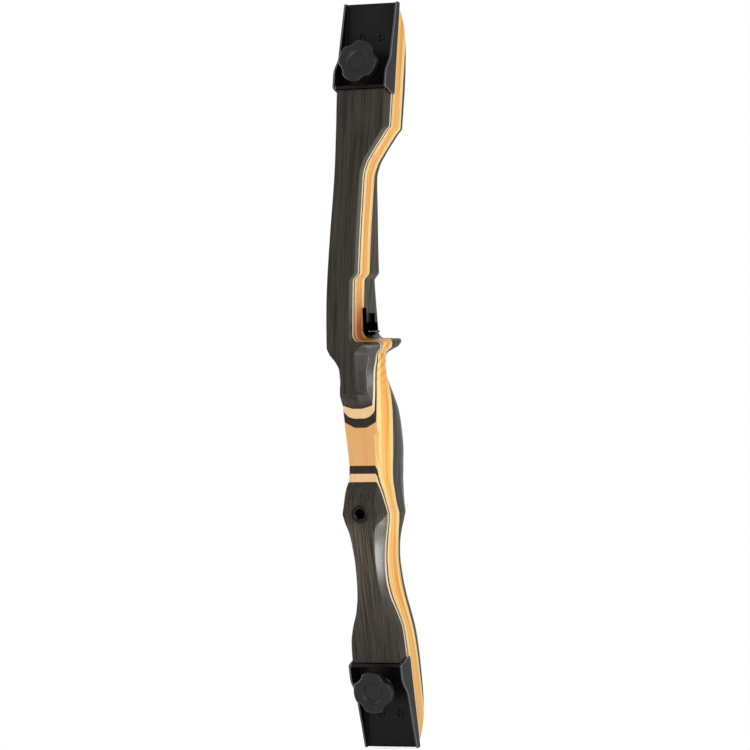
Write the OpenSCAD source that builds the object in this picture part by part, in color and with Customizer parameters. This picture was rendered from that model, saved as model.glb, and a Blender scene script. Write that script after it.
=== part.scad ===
// Takedown recurve bow: the laminated wooden riser with its two limb pockets,
// limb bolts, stabiliser bushing and stick-on arrow rest.
// The face (target side) looks along -Y, the archer stands on +Y, the sight
// window is on +X and the upper limb is up. The origin is the grip's throat.

/* [Riser] */
// Length of the riser over both pocket tips
riser_len = 610; // [590:1:650]
// Width of the wood at the pockets
wood_w = 45; // [44:0.25:47]
// Lean of the straight ends towards the archer, in degrees
lean = 11; // [9:0.5:13]
// Half length of the curved middle of the face
curve_half = 131; // [120:1:150]
// How far the wood stops short of the pocket tip
wood_end_gap = 5; // [4:0.5:9]

/* [Laminations] */
// Thickness of the dark face layer
face_layer = 10.5; // [9:0.25:12]
// Thickness of the cream veneer
cream_layer = 2; // [1.4:0.1:2.6]
// Thickness of the dark veneer
dark_layer = 1.6; // [1:0.1:2.2]
// Thickness of the pale layer in front of the honey core
pale_front_layer = 4.5; // [3.5:0.25:6]
// Thickness of the honey coloured core
honey_layer = 8; // [6:0.25:9]
// Thickness of the pale layer behind the honey core
pale_rear_layer = 5; // [4:0.25:6]
// Thickness of the whole riser along its straight ends
end_depth = 39; // [37:0.5:42]

/* [Grip] */
// Height of the grip's throat above the riser's middle
throat_up = 9.8; // [6:0.2:13]
// Thickness of the wood at the throat
throat_depth = 39; // [36:0.5:42]
// Width of the face at the throat
throat_face_w = 19; // [16:0.5:22]
// Width behind the face layer at the throat
throat_w = 31; // [28:0.5:34]
// Thickness of the palm swell, measured from the face line
palm_depth = 67; // [62:0.5:72]
// Width of the palm swell
palm_w = 38.6; // [36:0.5:42]
// Depth of the finger hollow in the face
hollow_depth = 15; // [14.2:0.2:17]
// Width of the swell round the stabiliser bushing
bulge_w = 40.4; // [38:0.5:43]
// Width of the face on that swell
bulge_face_w = 31.4; // [29:0.5:34]
// Width of the waist below it
waist_w = 30; // [27:0.5:33]
// Width of the face at the waist
waist_face_w = 18.6; // [16:0.5:21]

/* [Window and shelf] */
// Height of the arrow shelf above the throat
shelf_up = 21; // [20:0.5:24]
// Reach of the shelf from the centre line
shelf_reach = 22.3; // [21:0.25:24]
// How far the shelf's crown falls away towards the face
shelf_crown = 4.4; // [3:0.2:6]
// Radius where the shelf meets the window wall
shelf_fillet = 5.5; // [4:0.5:7]
// How far the lower window is cut past the centre line
deep_cut = 3.2; // [2:0.2:5]
// Height of the deeper cut above the shelf
deep_cut_h = 46.8; // [40:1:55]
// Distance of the upper window wall from the centre line
window_wall = 1.2; // [0:0.2:2.4]
// How far the window wall flares out again at the face
window_flare = 1.8; // [0.8:0.2:2.6]
// Height of the window above the shelf
window_h = 132.4; // [122:1:140]
// Length of the sweep from the window out to full width
sweep_len = 40; // [34:1:44]
// Drop of the sweep for each millimetre of depth behind the face
sweep_lean = 0.1; // [0:0.02:0.2]

/* [Limb pocket] */
// Outer width of the pocket
pocket_w = 48.4; // [48.2:0.2:52]
// Thickness of its steel sheet
sheet = 1.6; // [1.2:0.1:2]
// Length of its base from the end wall to the tip
pocket_len = 74.5; // [70:0.5:78]
// Height of the side walls beside the knob
tall_wall = 16.5; // [15:0.5:18.5]
// Height of the side walls beside the screws
low_wall = 9; // [7:0.5:11]
// Height of the side walls at the tip
tip_wall = 4.5; // [4:0.5:6.5]
// Height of the end wall
end_wall = 13.8; // [12:0.2:15]
// Thickness of the end wall
end_wall_t = 3.4; // [3:0.2:3.6]
// Where the tall walls start to come down, from the end wall
wall_drop_at = 12; // [10:0.5:15]
// Length of that drop
wall_drop_len = 18; // [14:0.5:22]
// How far the side walls reach past the end wall
wall_lap = 2.4; // [1:0.2:3]

/* [Pocket screws] */
// Distance of the screws from the end wall
screw_at = 46.4; // [43:0.2:50]
// Spacing of the two screws
screw_gap = 17.2; // [14:0.2:24]
// Head diameter of a screw
screw_head_d = 10; // [8:0.2:11]
// Shank diameter of a screw
screw_d = 4.6; // [3.6:0.2:5.2]
// Length of a screw under the pocket
screw_len = 15; // [10:0.5:16]
// Width of the cross recess
cross_w = 1.3; // [0.8:0.1:1.6]

/* [Limb bolt] */
// Distance of the bolt from the end wall
bolt_at = 21.6; // [21.4:0.2:24]
// Thread diameter of the bolt
bolt_d = 8; // [6:0.25:10]
// Length of bolt below the knob
bolt_len = 24; // [20:0.5:25]
// Gap left for the limb between the pocket and the washer
limb_gap = 8; // [6:0.25:9]
// How much further the lower bolt is screwed out than the upper one
lower_bolt_out = 4.5; // [0:0.25:6]
// Diameter of the threaded insert
insert_d = 13; // [12:0.25:15]
// Length of the insert
insert_len = 18.5; // [15:0.5:20]
// Diameter of the washer
washer_d = 18; // [15:0.5:20]
// Thickness of the washer
washer_t = 1.5; // [1:0.1:2]

/* [Knob] */
// Diameter over the lobes
knob_d = 35; // [32:0.5:35]
// Radius of the four scallops
scallop_r = 8; // [6:0.25:9]
// Smallest distance of a scallop from the axis
scallop_in = 14.3; // [13:0.1:14.8]
// Thickness of the lobed head
head_t = 7; // [6:0.5:9]
// Bevel round the head's top
knob_bevel = 1.6; // [1:0.2:3]
// Diameter of the hub below the head
hub_d = 22; // [20:0.5:24]
// Height of the hub
hub_t = 6; // [5:0.5:7]
// Diameter of the dish in the head's top
dish_d = 19; // [18:0.5:21]
// Depth of the dish
dish_t = 1.4; // [1:0.1:1.8]
// Diameter of the cap in the dish's floor
cap_d = 14.5; // [13:0.5:16]
// Thickness of the cap
cap_t = 1.8; // [1.4:0.1:2.2]

/* [Stabiliser bushing] */
// Distance of the bushing below the throat
bushing_down = 121; // [120:0.5:126]
// Flange diameter of the bushing
bushing_flange_d = 14.8; // [14:0.1:18]
// Flange thickness
bushing_flange_t = 1.6; // [1:0.1:2.5]
// Barrel diameter of the bushing
bushing_d = 12; // [10.5:0.25:13]
// Length of the bushing
bushing_len = 19; // [16:0.5:24]
// Thread bore of the bushing
bushing_bore = 7.94; // [6:0.1:8.5]

/* [Arrow rest] */
// Length of the rest from front to back
rest_len = 17; // [16:0.5:21]
// Height of its front edge
rest_h = 22.5; // [20:0.5:25]
// Height of its rear post
rest_post_h = 18; // [16:0.5:20]
// Height of its base between the two
rest_base_h = 10.5; // [10:0.25:13]
// Width of the front edge
rest_bar_w = 1.6; // [1.2:0.2:3]
// Width of the rear post
rest_post_w = 3; // [2:0.2:4]
// Height of the rest's lower edge above the shelf
rest_up = 2.6; // [2.5:0.1:4]
// Distance of its front edge from the face line
rest_back = 30; // [28:0.5:33]
// Thickness of the sticky pad
rest_pad_t = 1; // [0.9:0.1:1.4]
// Thickness of the rest's base
rest_plate_t = 1.8; // [1.4:0.1:2.4]
// Height of the block that holds the wire arm
rest_block_h = 6.5; // [5.5:0.25:6.75]
// Reach of the block from the base
rest_block_out = 3.9; // [3.6:0.1:4.6]
// Diameter of the wire arm
wire_d = 1.4; // [1.2:0.1:1.6]
// Length of the arm along the window wall
arm_len = 13.2; // [11:0.2:15]
// How far the arm's tip bows out from the wall
arm_reach = 2.7; // [2:0.1:4]
// Length of the arm's pivot pin inside the block
arm_pin_len = 4.5; // [3:0.25:5]

/* [Clearances] */
// Radial gap between a shank or insert and its bore
bore_gap = 0.05; // [0.03:0.01:0.08]
// Gap between parts that turn or slide past each other
run_gap = 0.1; // [0.08:0.01:0.2]

/* [Hidden] */

face_wood = [0.24, 0.22, 0.19];
cream_wood = [0.93, 0.79, 0.58];
dark_wood = [0.17, 0.15, 0.13];
pale_wood = [0.95, 0.82, 0.6];
honey_wood = [0.86, 0.66, 0.38];
black_steel = [0.1, 0.1, 0.11];
knob_plastic = [0.17, 0.17, 0.18];
cap_plastic = [0.22, 0.22, 0.23];
zinc = [0.62, 0.62, 0.62];
brass = [0.75, 0.62, 0.35];
rest_plastic = [0.06, 0.06, 0.07];

half_len = riser_len / 2;
half_w = wood_w / 2;
lean_x = tan(lean);

// Depths behind the face at which one layer ends and the next begins
cream_at = face_layer;
dark_at = cream_at + cream_layer;
core_at = dark_at + dark_layer;
honey_at = core_at + pale_front_layer;
rear_at = honey_at + honey_layer;
belly_at = rear_at + pale_rear_layer;

// The pocket's base rests on the core, square to the leaning face
seat_in = core_at * cos(lean);
base_in = seat_in - sheet;
wall_z = half_len - pocket_len * cos(lean) + (base_in - tip_wall) * sin(lean);

// Heights along the riser, from its middle
throat_z = throat_up;
shelf_z = throat_z + shelf_up;
shelf_edge_z = shelf_z - 0.5;
deep_top_z = shelf_z + deep_cut_h;
jog_len = 7;
window_top_z = shelf_z + window_h;
sweep_top_z = window_top_z + sweep_len;
bulge_z = throat_z - bushing_down;
wood_end_z = half_len - wood_end_gap;
tip_taper = 73;

// A value kept between two limits, a blend of two values
function clamp(v, lo, hi) = max(lo, min(hi, v));
function mix(a, b, f) = a + (b - a) * f;

// Smooth curve through the rows of a table: the first column is the height,
// and the curve never swings past its points
function row_at(table, z, i = 0) =
    i >= len(table) - 2 || z <= table[i + 1][0] ? i : row_at(table, z, i + 1);
function rise(table, c, i) = (table[i + 1][c] - table[i][c]) / (table[i + 1][0] - table[i][0]);
function knot_slope(table, c, i) =
    i == 0 || i == len(table) - 1 ? 0 :
    let (a = rise(table, c, i - 1), b = rise(table, c, i))
    a * b <= 0 ? 0 : 2 * a * b / (a + b);
function curve(table, z, c = 1) =
    let (
        i = row_at(table, z),
        h = table[i + 1][0] - table[i][0],
        u = clamp((z - table[i][0]) / h, 0, 1),
        s0 = knot_slope(table, c, i) * h,
        s1 = knot_slope(table, c, i + 1) * h
    )
    table[i][c] * (1 + 2 * u) * (1 - u) * (1 - u) + s0 * u * (1 - u) * (1 - u)
    + table[i + 1][c] * u * u * (3 - 2 * u) - s1 * u * u * (1 - u);

// Heights at a share of the way from the bushing down to the lower pocket,
// from the throat down to the bushing, from the throat up to the shelf, up
// the sight window, and from a tip in to where its thickness is full
function lower_z(share) = mix(bulge_z, -wall_z, share);
function hand_z(share) = mix(throat_z, bulge_z, share);
function neck_z(share) = mix(throat_z, shelf_z, share);
function window_z(share) = mix(shelf_z, window_top_z, share);
function tip_z(share) = half_len - share * tip_taper;

// Half widths of the side opposite the window: height, at the face, behind
// the face layer, at the belly layer
grip_sides = [
    [-half_len, half_w, half_w, half_w],
    [-wall_z, half_w - 0.5, half_w, half_w],
    [lower_z(0.87), half_w - 1.4, half_w - 0.2, half_w - 0.5],
    [lower_z(0.77), half_w - 4.2, half_w - 0.7, half_w - 1.5],
    [lower_z(0.66), waist_face_w / 2 + 4.1, waist_w / 2 + 3.2, waist_w / 2 + 3.8],
    [lower_z(0.55), waist_face_w / 2 + 1.4, waist_w / 2 - 1.2, waist_w / 2 + 1.6],
    [lower_z(0.44), waist_face_w / 2 + 0.3, waist_w / 2 - 3, waist_w / 2 + 0.3],
    [lower_z(0.33), waist_face_w / 2, waist_w / 2 - 2.4, waist_w / 2],
    [lower_z(0.21), waist_face_w / 2 + 0.9, waist_w / 2 - 0.2, waist_w / 2 + 1.4],
    [lower_z(0.13), bulge_face_w / 2 - 4.4, bulge_w / 2 - 3.2, bulge_w / 2 - 2.4],
    [lower_z(0.055), bulge_face_w / 2 - 1.5, bulge_w / 2 - 1, bulge_w / 2 - 0.8],
    [bulge_z, bulge_face_w / 2, bulge_w / 2, bulge_w / 2],
    [hand_z(0.926), bulge_face_w / 2 - 2.3, bulge_w / 2 - 1.9, bulge_w / 2 - 1.6],
    [hand_z(0.851), bulge_face_w / 2 - 4.3, bulge_w / 2 - 4.3, bulge_w / 2 - 2.3],
    [hand_z(0.785), throat_face_w / 2 + 0.5, throat_w / 2 - 2.5, palm_w / 2 - 2],
    [hand_z(0.719), throat_face_w / 2 - 0.5, throat_w / 2 - 4.3, palm_w / 2 - 1.6],
    [hand_z(0.587), throat_face_w / 2 - 0.5, throat_w / 2 - 5, palm_w / 2],
    [hand_z(0.446), throat_face_w / 2 + 0.5, throat_w / 2 - 4.2, palm_w / 2 + 1.1],
    [hand_z(0.314), throat_face_w / 2 + 1.5, throat_w / 2 - 2.7, palm_w / 2 + 1.6],
    [hand_z(0.215), throat_face_w / 2 + 1.5, throat_w / 2 - 1.3, palm_w / 2 + 0.9],
    [hand_z(0.157), throat_face_w / 2 + 0.8, throat_w / 2 - 0.7, palm_w / 2 + 0.2],
    [hand_z(0.099), throat_face_w / 2 + 0.1, throat_w / 2 - 0.3, palm_w / 2],
];
left_sides = concat(grip_sides, [
    [hand_z(0.033), throat_face_w / 2 + 1, throat_w / 2 + 0.4, palm_w / 2 + 0.1],
    [neck_z(0.143), throat_face_w / 2 + 4.6, throat_w / 2 + 2.1, palm_w / 2 - 0.1],
    [neck_z(0.476), half_w - 3.2, half_w - 2, half_w - 2],
    [neck_z(0.857), half_w - 0.8, half_w, half_w - 0.5],
    [window_z(0.166), half_w - 0.6, half_w, half_w],
    [window_z(0.675), half_w - 2.1, half_w - 1, half_w - 0.5],
    [window_top_z, half_w - 2.8, half_w - 1.7, half_w - 1],
    [sweep_top_z, half_w - 1.7, half_w - 0.5, half_w],
    [wall_z, half_w - 0.5, half_w, half_w],
    [half_len, half_w, half_w, half_w],
]);
right_sides = concat(grip_sides, [
    [hand_z(0.041), throat_face_w / 2 - 0.3, throat_w / 2 + 0.1, palm_w / 2 + 0.2],
    [neck_z(0.143), throat_face_w / 2 + 0.1, throat_w / 2 + 1.8, palm_w / 2 - 0.1],
    [neck_z(0.429), throat_face_w / 2 + 0.7, shelf_reach - 4, palm_w / 2 - 2],
    [neck_z(0.571), throat_face_w / 2 + 0.9, shelf_reach - 2.2, shelf_reach - 2.6],
    [neck_z(0.667), throat_face_w / 2 + 1, shelf_reach - 0.6, shelf_reach - 0.4],
    [neck_z(0.81), throat_face_w / 2 + 1.1, shelf_reach, shelf_reach],
    [shelf_edge_z - 0.9, throat_face_w / 2 + 0.9, shelf_reach - 1.1, shelf_reach - 0.8],
    [shelf_edge_z, throat_face_w / 2, shelf_reach - 2.8, shelf_reach - 2.4],
    [shelf_z, half_w - 1, half_w - 1, half_w - 1],
    [window_top_z, half_w - 2, half_w - 1, half_w],
    [sweep_top_z, half_w - 0.8, half_w, half_w],
    [wall_z, half_w - 1, half_w, half_w],
    [half_len, half_w, half_w, half_w],
]);

// Where the window wall stands: height, distance from the centre line
window_line = [
    [shelf_z, -deep_cut],
    [deep_top_z, -deep_cut],
    [deep_top_z + jog_len, window_wall],
    [window_top_z, window_wall],
    [window_top_z + 0.25 * sweep_len, mix(window_wall, half_w, 0.11)],
    [window_top_z + 0.5 * sweep_len, mix(window_wall, half_w, 0.37)],
    [window_top_z + 0.74 * sweep_len, mix(window_wall, half_w, 0.66)],
    [window_top_z + 0.91 * sweep_len, mix(window_wall, half_w, 0.87)],
    [sweep_top_z, half_w],
];

// Thickness from the face line to the belly
belly_line = [
    [-half_len, 17],
    [-tip_z(0.068), 19.5],
    [-tip_z(0.151), 24.5],
    [-tip_z(0.301), end_depth - 7.8],
    [-tip_z(0.479), end_depth - 3.8],
    [-tip_z(0.658), end_depth - 1.8],
    [-half_len + tip_taper, end_depth - 0.4],
    [lower_z(0.66), end_depth + 1.2],
    [lower_z(0.33), end_depth + 0.9],
    [lower_z(0.21), end_depth + 1.3],
    [lower_z(0.13), end_depth + 4],
    [lower_z(0.055), end_depth + 8.5],
    [bulge_z, end_depth + 12.5],
    [hand_z(0.893), palm_depth - 8],
    [hand_z(0.793), palm_depth - 2],
    [hand_z(0.694), palm_depth],
    [hand_z(0.587), palm_depth],
    [hand_z(0.471), palm_depth - 2.7],
    [hand_z(0.306), palm_depth - 9.6],
    [hand_z(0.198), throat_depth + 11.1],
    [hand_z(0.132), throat_depth + 6],
    [hand_z(0.074), throat_depth + 1.9],
    [hand_z(0.033), throat_depth + 0.3],
    [throat_z, throat_depth],
    [neck_z(0.19), throat_depth + 1.7],
    [neck_z(0.381), throat_depth + 6.3],
    [neck_z(0.524), throat_depth + 11.2],
    [neck_z(0.714), throat_depth + 18.6],
    [neck_z(0.857), throat_depth + 22],
    [shelf_z, throat_depth + 22.8],
    [window_z(0.113), throat_depth + 20.5],
    [window_z(0.34), throat_depth + 14.6],
    [window_z(0.551), throat_depth + 10.4],
    [window_z(0.748), throat_depth + 6.6],
    [window_top_z, end_depth + 1],
    [window_top_z + 0.6 * sweep_len, end_depth - 1.1],
    [sweep_top_z, end_depth - 1],
    [half_len - tip_taper, end_depth - 0.4],
    [tip_z(0.658), end_depth - 1.8],
    [tip_z(0.479), end_depth - 3.8],
    [tip_z(0.301), end_depth - 7.8],
    [tip_z(0.151), 24.5],
    [tip_z(0.068), 19.5],
    [half_len, 17],
];

// Depth of the finger hollow in the face
hollow_line = [
    [hand_z(0.959), 0],
    [hand_z(0.926), 0.6],
    [hand_z(0.876), 3],
    [hand_z(0.826), 0.48 * hollow_depth],
    [hand_z(0.785), 0.7 * hollow_depth],
    [hand_z(0.731), 0.83 * hollow_depth],
    [hand_z(0.669), 0.945 * hollow_depth],
    [hand_z(0.57), hollow_depth],
    [hand_z(0.421), 0.935 * hollow_depth],
    [hand_z(0.355), 0.82 * hollow_depth],
    [hand_z(0.289), 0.68 * hollow_depth],
    [hand_z(0.24), 0.37 * hollow_depth],
    [hand_z(0.19), 1.2],
    [hand_z(0.14), 0],
];

// Rounding where the face meets the sides: height, inset, depth
face_edges = [
    [bulge_z, 0.7, 2.4],
    [hand_z(0.851), 3.6, 2.4],
    [hand_z(0.669), 4.5, 4],
    [hand_z(0.5), 4.5, 4],
    [hand_z(0.355), 4.5, 2.5],
    [hand_z(0.24), 3, 2.4],
    [hand_z(0.116), 0.7, 2.4],
];

// Rounding where the belly meets the sides: height, inset, depth
lower_edges = [
    [-half_len, 4, 4],
    [lower_z(0.66), 5, 6],
    [lower_z(0.2), 6, 8],
    [bulge_z, 8, 12],
    [hand_z(0.793), 14, 23],
    [hand_z(0.587), 15, 25],
    [hand_z(0.306), 14, 22],
    [hand_z(0.074), 14, 20],
    [neck_z(0.238), 15, 20],
];
left_edges = concat(lower_edges, [
    [neck_z(0.857), 12, 14],
    [window_z(0.151), 6, 7],
    [window_top_z, 5, 5],
    [half_len, 4, 4],
]);
right_edges = concat(lower_edges, [
    [neck_z(0.619), 14, 18],
    [shelf_edge_z, 13, 16],
    [shelf_z, 4, 4],
    [half_len, 4, 4],
]);

// The face line leans back at both ends and is a parabola between them
face_mid_y = -44;
function face_y(z) =
    abs(z) < curve_half
    ? face_mid_y + lean_x * z * z / (2 * curve_half)
    : face_mid_y + lean_x * (abs(z) - curve_half / 2);
function face_slope(z) = lean_x * clamp(z / curve_half, -1, 1);

function belly_in(z) = curve(belly_line, z);
function hollow_in(z) =
    z <= hollow_line[0][0] || z >= hollow_line[len(hollow_line) - 1][0] ? 0 : curve(hollow_line, z);

function window_x(z, t) =
    window_flare * max(0, 1 - t / cream_at)
    + (z < shelf_z + shelf_fillet
        ? -deep_cut + shelf_fillet - sqrt(max(0, pow(shelf_fillet, 2) - pow(shelf_z + shelf_fillet - z, 2)))
        : curve(window_line, z < window_top_z ? z : max(window_top_z, z + sweep_lean * (t - cream_at))));

// Half width of one side at a height and a depth behind the face line
function side_x(table, z, t) =
    t < cream_at
    ? mix(curve(table, z, 1), curve(table, z, 2), t / cream_at)
    : mix(curve(table, z, 2), curve(table, z, 3), sin(90 * clamp((t - cream_at) / (belly_at - cream_at), 0, 1)));
function edge_inset(z, t, edges) =
    let (
        front = 1 - clamp((t - hollow_in(z)) / curve(face_edges, z, 2), 0, 1),
        back = 1 - clamp((belly_in(z) - t) / curve(edges, z, 2), 0, 1)
    )
    curve(face_edges, z, 1) * front * front + curve(edges, z, 1) * (1 - sqrt(1 - back * back));
function left_x(z, t) = -side_x(left_sides, z, t) + edge_inset(z, t, left_edges);
function right_x(z, t) =
    (z < shelf_z ? side_x(right_sides, z, t) : min(side_x(right_sides, z, t), window_x(z, t)))
    - edge_inset(z, t, right_edges);

// Height at which a layer runs out: where the hollow or the belly reaches a depth
feather = 0.06;
function hollow_cross(depth, z_in, z_out, n = 24) =
    let (mid = (z_in + z_out) / 2)
    n == 0 ? mid :
    hollow_in(mid) > depth - feather ? hollow_cross(depth, mid, z_out, n - 1)
    : hollow_cross(depth, z_in, mid, n - 1);
function belly_cross(depth, z_in, z_out, n = 24) =
    let (mid = (z_in + z_out) / 2)
    n == 0 ? mid :
    belly_in(mid) > depth + feather ? belly_cross(depth, mid, z_out, n - 1)
    : belly_cross(depth, z_in, mid, n - 1);

hollow_mid_z = hand_z(0.57);
upper_cream_z = hollow_cross(cream_at, hollow_mid_z, throat_z);
upper_dark_z = hollow_cross(dark_at, hollow_mid_z, throat_z);
upper_core_z = hollow_cross(core_at, hollow_mid_z, throat_z);
lower_cream_z = hollow_cross(cream_at, hollow_mid_z, bulge_z);
lower_dark_z = hollow_cross(dark_at, hollow_mid_z, bulge_z);
lower_core_z = hollow_cross(core_at, hollow_mid_z, bulge_z);
belly_end_z = belly_cross(belly_at, half_len - tip_taper, half_len);
rear_end_z = min(wood_end_z, belly_cross(rear_at, half_len - tip_taper, half_len));

// Heights of the cross sections that every layer shares
function steps(from, to, n) = [for (i = [0 : n - 1]) mix(from, to, i / n)];
function fillet_steps(n) = [for (i = [1 : n]) shelf_z + shelf_fillet * (1 - cos(90 * i / n))];
seat_start = wall_z - 5;
plain_heights = concat(
    steps(-wood_end_z, -tip_z(0.301), 3),
    steps(-tip_z(0.301), -seat_start, 5),
    steps(-seat_start, lower_z(0.77), 3),
    steps(lower_z(0.77), lower_z(0.13), 9),
    steps(lower_z(0.13), hand_z(0.926), 6),
    steps(hand_z(0.926), hand_z(0.694), 5),
    steps(hand_z(0.694), hand_z(0.289), 6),
    steps(hand_z(0.289), hand_z(0.099), 5),
    steps(hand_z(0.099), neck_z(0.381), 5),
    steps(neck_z(0.381), shelf_edge_z, 7),
    [shelf_edge_z, shelf_z],
    fillet_steps(4),
    steps(shelf_z + shelf_fillet + 8, deep_top_z, 2),
    steps(deep_top_z, deep_top_z + jog_len, 4),
    steps(deep_top_z + jog_len, window_top_z, 4),
    steps(window_top_z, sweep_top_z, 8),
    steps(sweep_top_z, seat_start, 2),
    steps(seat_start, tip_z(0.301), 5),
    steps(tip_z(0.301), wood_end_z, 3),
    [wood_end_z]
);
layer_ends = [
    upper_cream_z, upper_dark_z, upper_core_z, lower_cream_z, lower_dark_z, lower_core_z,
    belly_end_z, -belly_end_z, rear_end_z, -rear_end_z,
];
function is_near(z, others) = len([for (o = others) if (abs(z - o) < 0.8) 1]) > 0;
function sorted(v) =
    len(v) < 2 ? v :
    let (p = v[floor(len(v) / 2)])
    concat(sorted([for (x = v) if (x < p) x]), [p], sorted([for (x = v) if (x > p) x]));
heights = sorted(concat(
    layer_ends,
    [for (z = plain_heights) if (abs(z) == wood_end_z || !is_near(z, layer_ends)) z]
));

// Ring of points round one layer at a height; a ring at the pocket's end wall
// leans with that wall
function layer_ring(z, from, to, shares, wall_side) =
    let (
        lo = max(from, hollow_in(z)),
        hi = min(to, belly_in(z)),
        depths = [for (s = shares) mix(lo, hi, s)],
        last = len(shares) - 1
    )
    concat(
        [for (i = [0 : last]) ring_point(z, depths[i], 1, wall_side)],
        [for (i = [last : -1 : 0]) ring_point(z, depths[i], -1, wall_side)]
    );
function ring_point(z, t, side, wall_side) =
    let (zz = z - wall_side * t * sin(lean) * cos(lean))
    [side > 0 ? right_x(zz, t) : left_x(zz, t), face_y(zz) + t, zz - crown_fall(zz, t)];

// The shelf is crowned: near it, every height sags towards the face
crown_below = 22;
crown_above = 45;
function crown_fall(z, t) =
    let (
        away = z < shelf_z ? (shelf_z - z) / crown_below : (z - shelf_z) / crown_above,
        share = pow(1 - clamp(t / belly_at, 0, 1), 1.5)
    )
    shelf_crown * share * pow(1 - clamp(away, 0, 1), 2);

// One layer of wood between two depths and two heights
module layer(from, to, z_lo, z_hi, shares, at_walls) {
    tiny = 0.001;
    lean_room = 4;
    low = at_walls && z_lo < 0 && z_lo <= -wall_z + tiny;
    high = at_walls && z_hi > 0 && z_hi >= wall_z - tiny;
    inner = [for (z = heights)
        if (z > (low ? z_lo + lean_room : z_lo - tiny) && z < (high ? z_hi - lean_room : z_hi + tiny)) z];
    rings = concat(
        low ? [layer_ring(z_lo, from, to, shares, -1)] : [],
        [for (z = inner) layer_ring(z, from, to, shares, 0)],
        high ? [layer_ring(z_hi, from, to, shares, 1)] : []
    );
    n = len(rings[0]);
    m = len(rings);
    polyhedron(
        points = [for (r = rings) each r],
        faces = concat(
            [[for (i = [0 : n - 1]) i]],
            [for (j = [0 : m - 2]) for (i = [0 : n - 1])
                [j * n + i, (j + 1) * n + i, (j + 1) * n + (i + 1) % n, j * n + (i + 1) % n]],
            [[for (i = [n - 1 : -1 : 0]) (m - 1) * n + i]]
        ),
        convexity = 8
    );
}

function even(n) = [for (i = [0 : n]) i / n];
function towards_belly(n) = [for (i = [0 : n]) sin(90 * i / n)];

// The riser's middle stands at height 0 while it is made, and the throat at last
module placed() {
    translate([0, -face_mid_y - throat_depth - lean_x * throat_z * throat_z / (2 * curve_half), -throat_z])
        children();
}

// A pocket's own place: z runs along its base to the tip, -y is out of the face
module at_end(side) {
    mirror([0, 0, side < 0 ? 1 : 0])
        translate([0, face_y(wall_z), wall_z])
            rotate([-lean, 0, 0])
                children();
}

// A round bar along a pocket's outward direction, from one height over its
// base to another
module out_bar(d, from, to, at = [0, bolt_at], d_end = -1) {
    translate([at[0], base_in - from, at[1]])
        rotate([90, 0, 0])
            cylinder(h = to - from, d1 = d, d2 = d_end < 0 ? d : d_end, $fn = 48);
}

// Bores that both pockets need in the wood
module pocket_bores() {
    for (side = [-1, 1]) at_end(side) {
        out_bar(insert_d + 2 * bore_gap, -sheet - insert_len - run_gap, 1);
        out_bar(bolt_d + 1, washer_t - bolt_len - 2 * run_gap, 1);
        for (x = [-1, 1])
            out_bar(screw_d + 2 * bore_gap, -sheet - screw_len - run_gap, 1,
                [x * screw_gap / 2, screw_at]);
    }
}

// Place of the stabiliser bushing: z points out of the face
module at_bushing() {
    translate([0, face_y(bulge_z), bulge_z])
        rotate([90 - atan(face_slope(bulge_z)), 0, 0])
            children();
}
module bushing_bores() {
    at_bushing() {
        translate([0, 0, -bushing_len - run_gap])
            cylinder(h = bushing_len + 5, d = bushing_d + 2 * bore_gap, $fn = 48);
        translate([0, 0, -bushing_flange_t])
            cylinder(h = bushing_flange_t + 5, d = bushing_flange_d + 2 * bore_gap, $fn = 48);
    }
}

module face_layer_upper() {
    color(face_wood) placed()
        layer(0, cream_at, upper_cream_z, wall_z, even(6), true);
}
module face_layer_lower() {
    color(face_wood) placed() difference() {
        layer(0, cream_at, -wall_z, lower_cream_z, even(6), true);
        bushing_bores();
    }
}
module cream_veneer_upper() {
    color(cream_wood) placed()
        layer(cream_at, dark_at, upper_dark_z, wall_z, even(2), true);
}
module cream_veneer_lower() {
    color(cream_wood) placed() difference() {
        layer(cream_at, dark_at, -wall_z, lower_dark_z, even(2), true);
        bushing_bores();
    }
}
module dark_veneer_upper() {
    color(dark_wood) placed()
        layer(dark_at, core_at, upper_core_z, wall_z, even(2), true);
}
module dark_veneer_lower() {
    color(dark_wood) placed() difference() {
        layer(dark_at, core_at, -wall_z, lower_core_z, even(2), true);
        bushing_bores();
    }
}
module pale_core_front() {
    color(pale_wood) placed() difference() {
        layer(core_at, honey_at, -wood_end_z, wood_end_z, even(3), false);
        bushing_bores();
        pocket_bores();
    }
}
module honey_core() {
    color(honey_wood) placed() difference() {
        layer(honey_at, rear_at, -wood_end_z, wood_end_z, even(2), false);
        bushing_bores();
        pocket_bores();
    }
}
module pale_core_rear() {
    color(pale_wood) placed() difference() {
        layer(rear_at, belly_at, -rear_end_z, rear_end_z, even(2), false);
        pocket_bores();
    }
}
module belly_layer() {
    color(face_wood) placed() difference() {
        layer(belly_at, 2 * palm_depth, -belly_end_z, belly_end_z, towards_belly(7), false);
        pocket_bores();
    }
}

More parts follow.
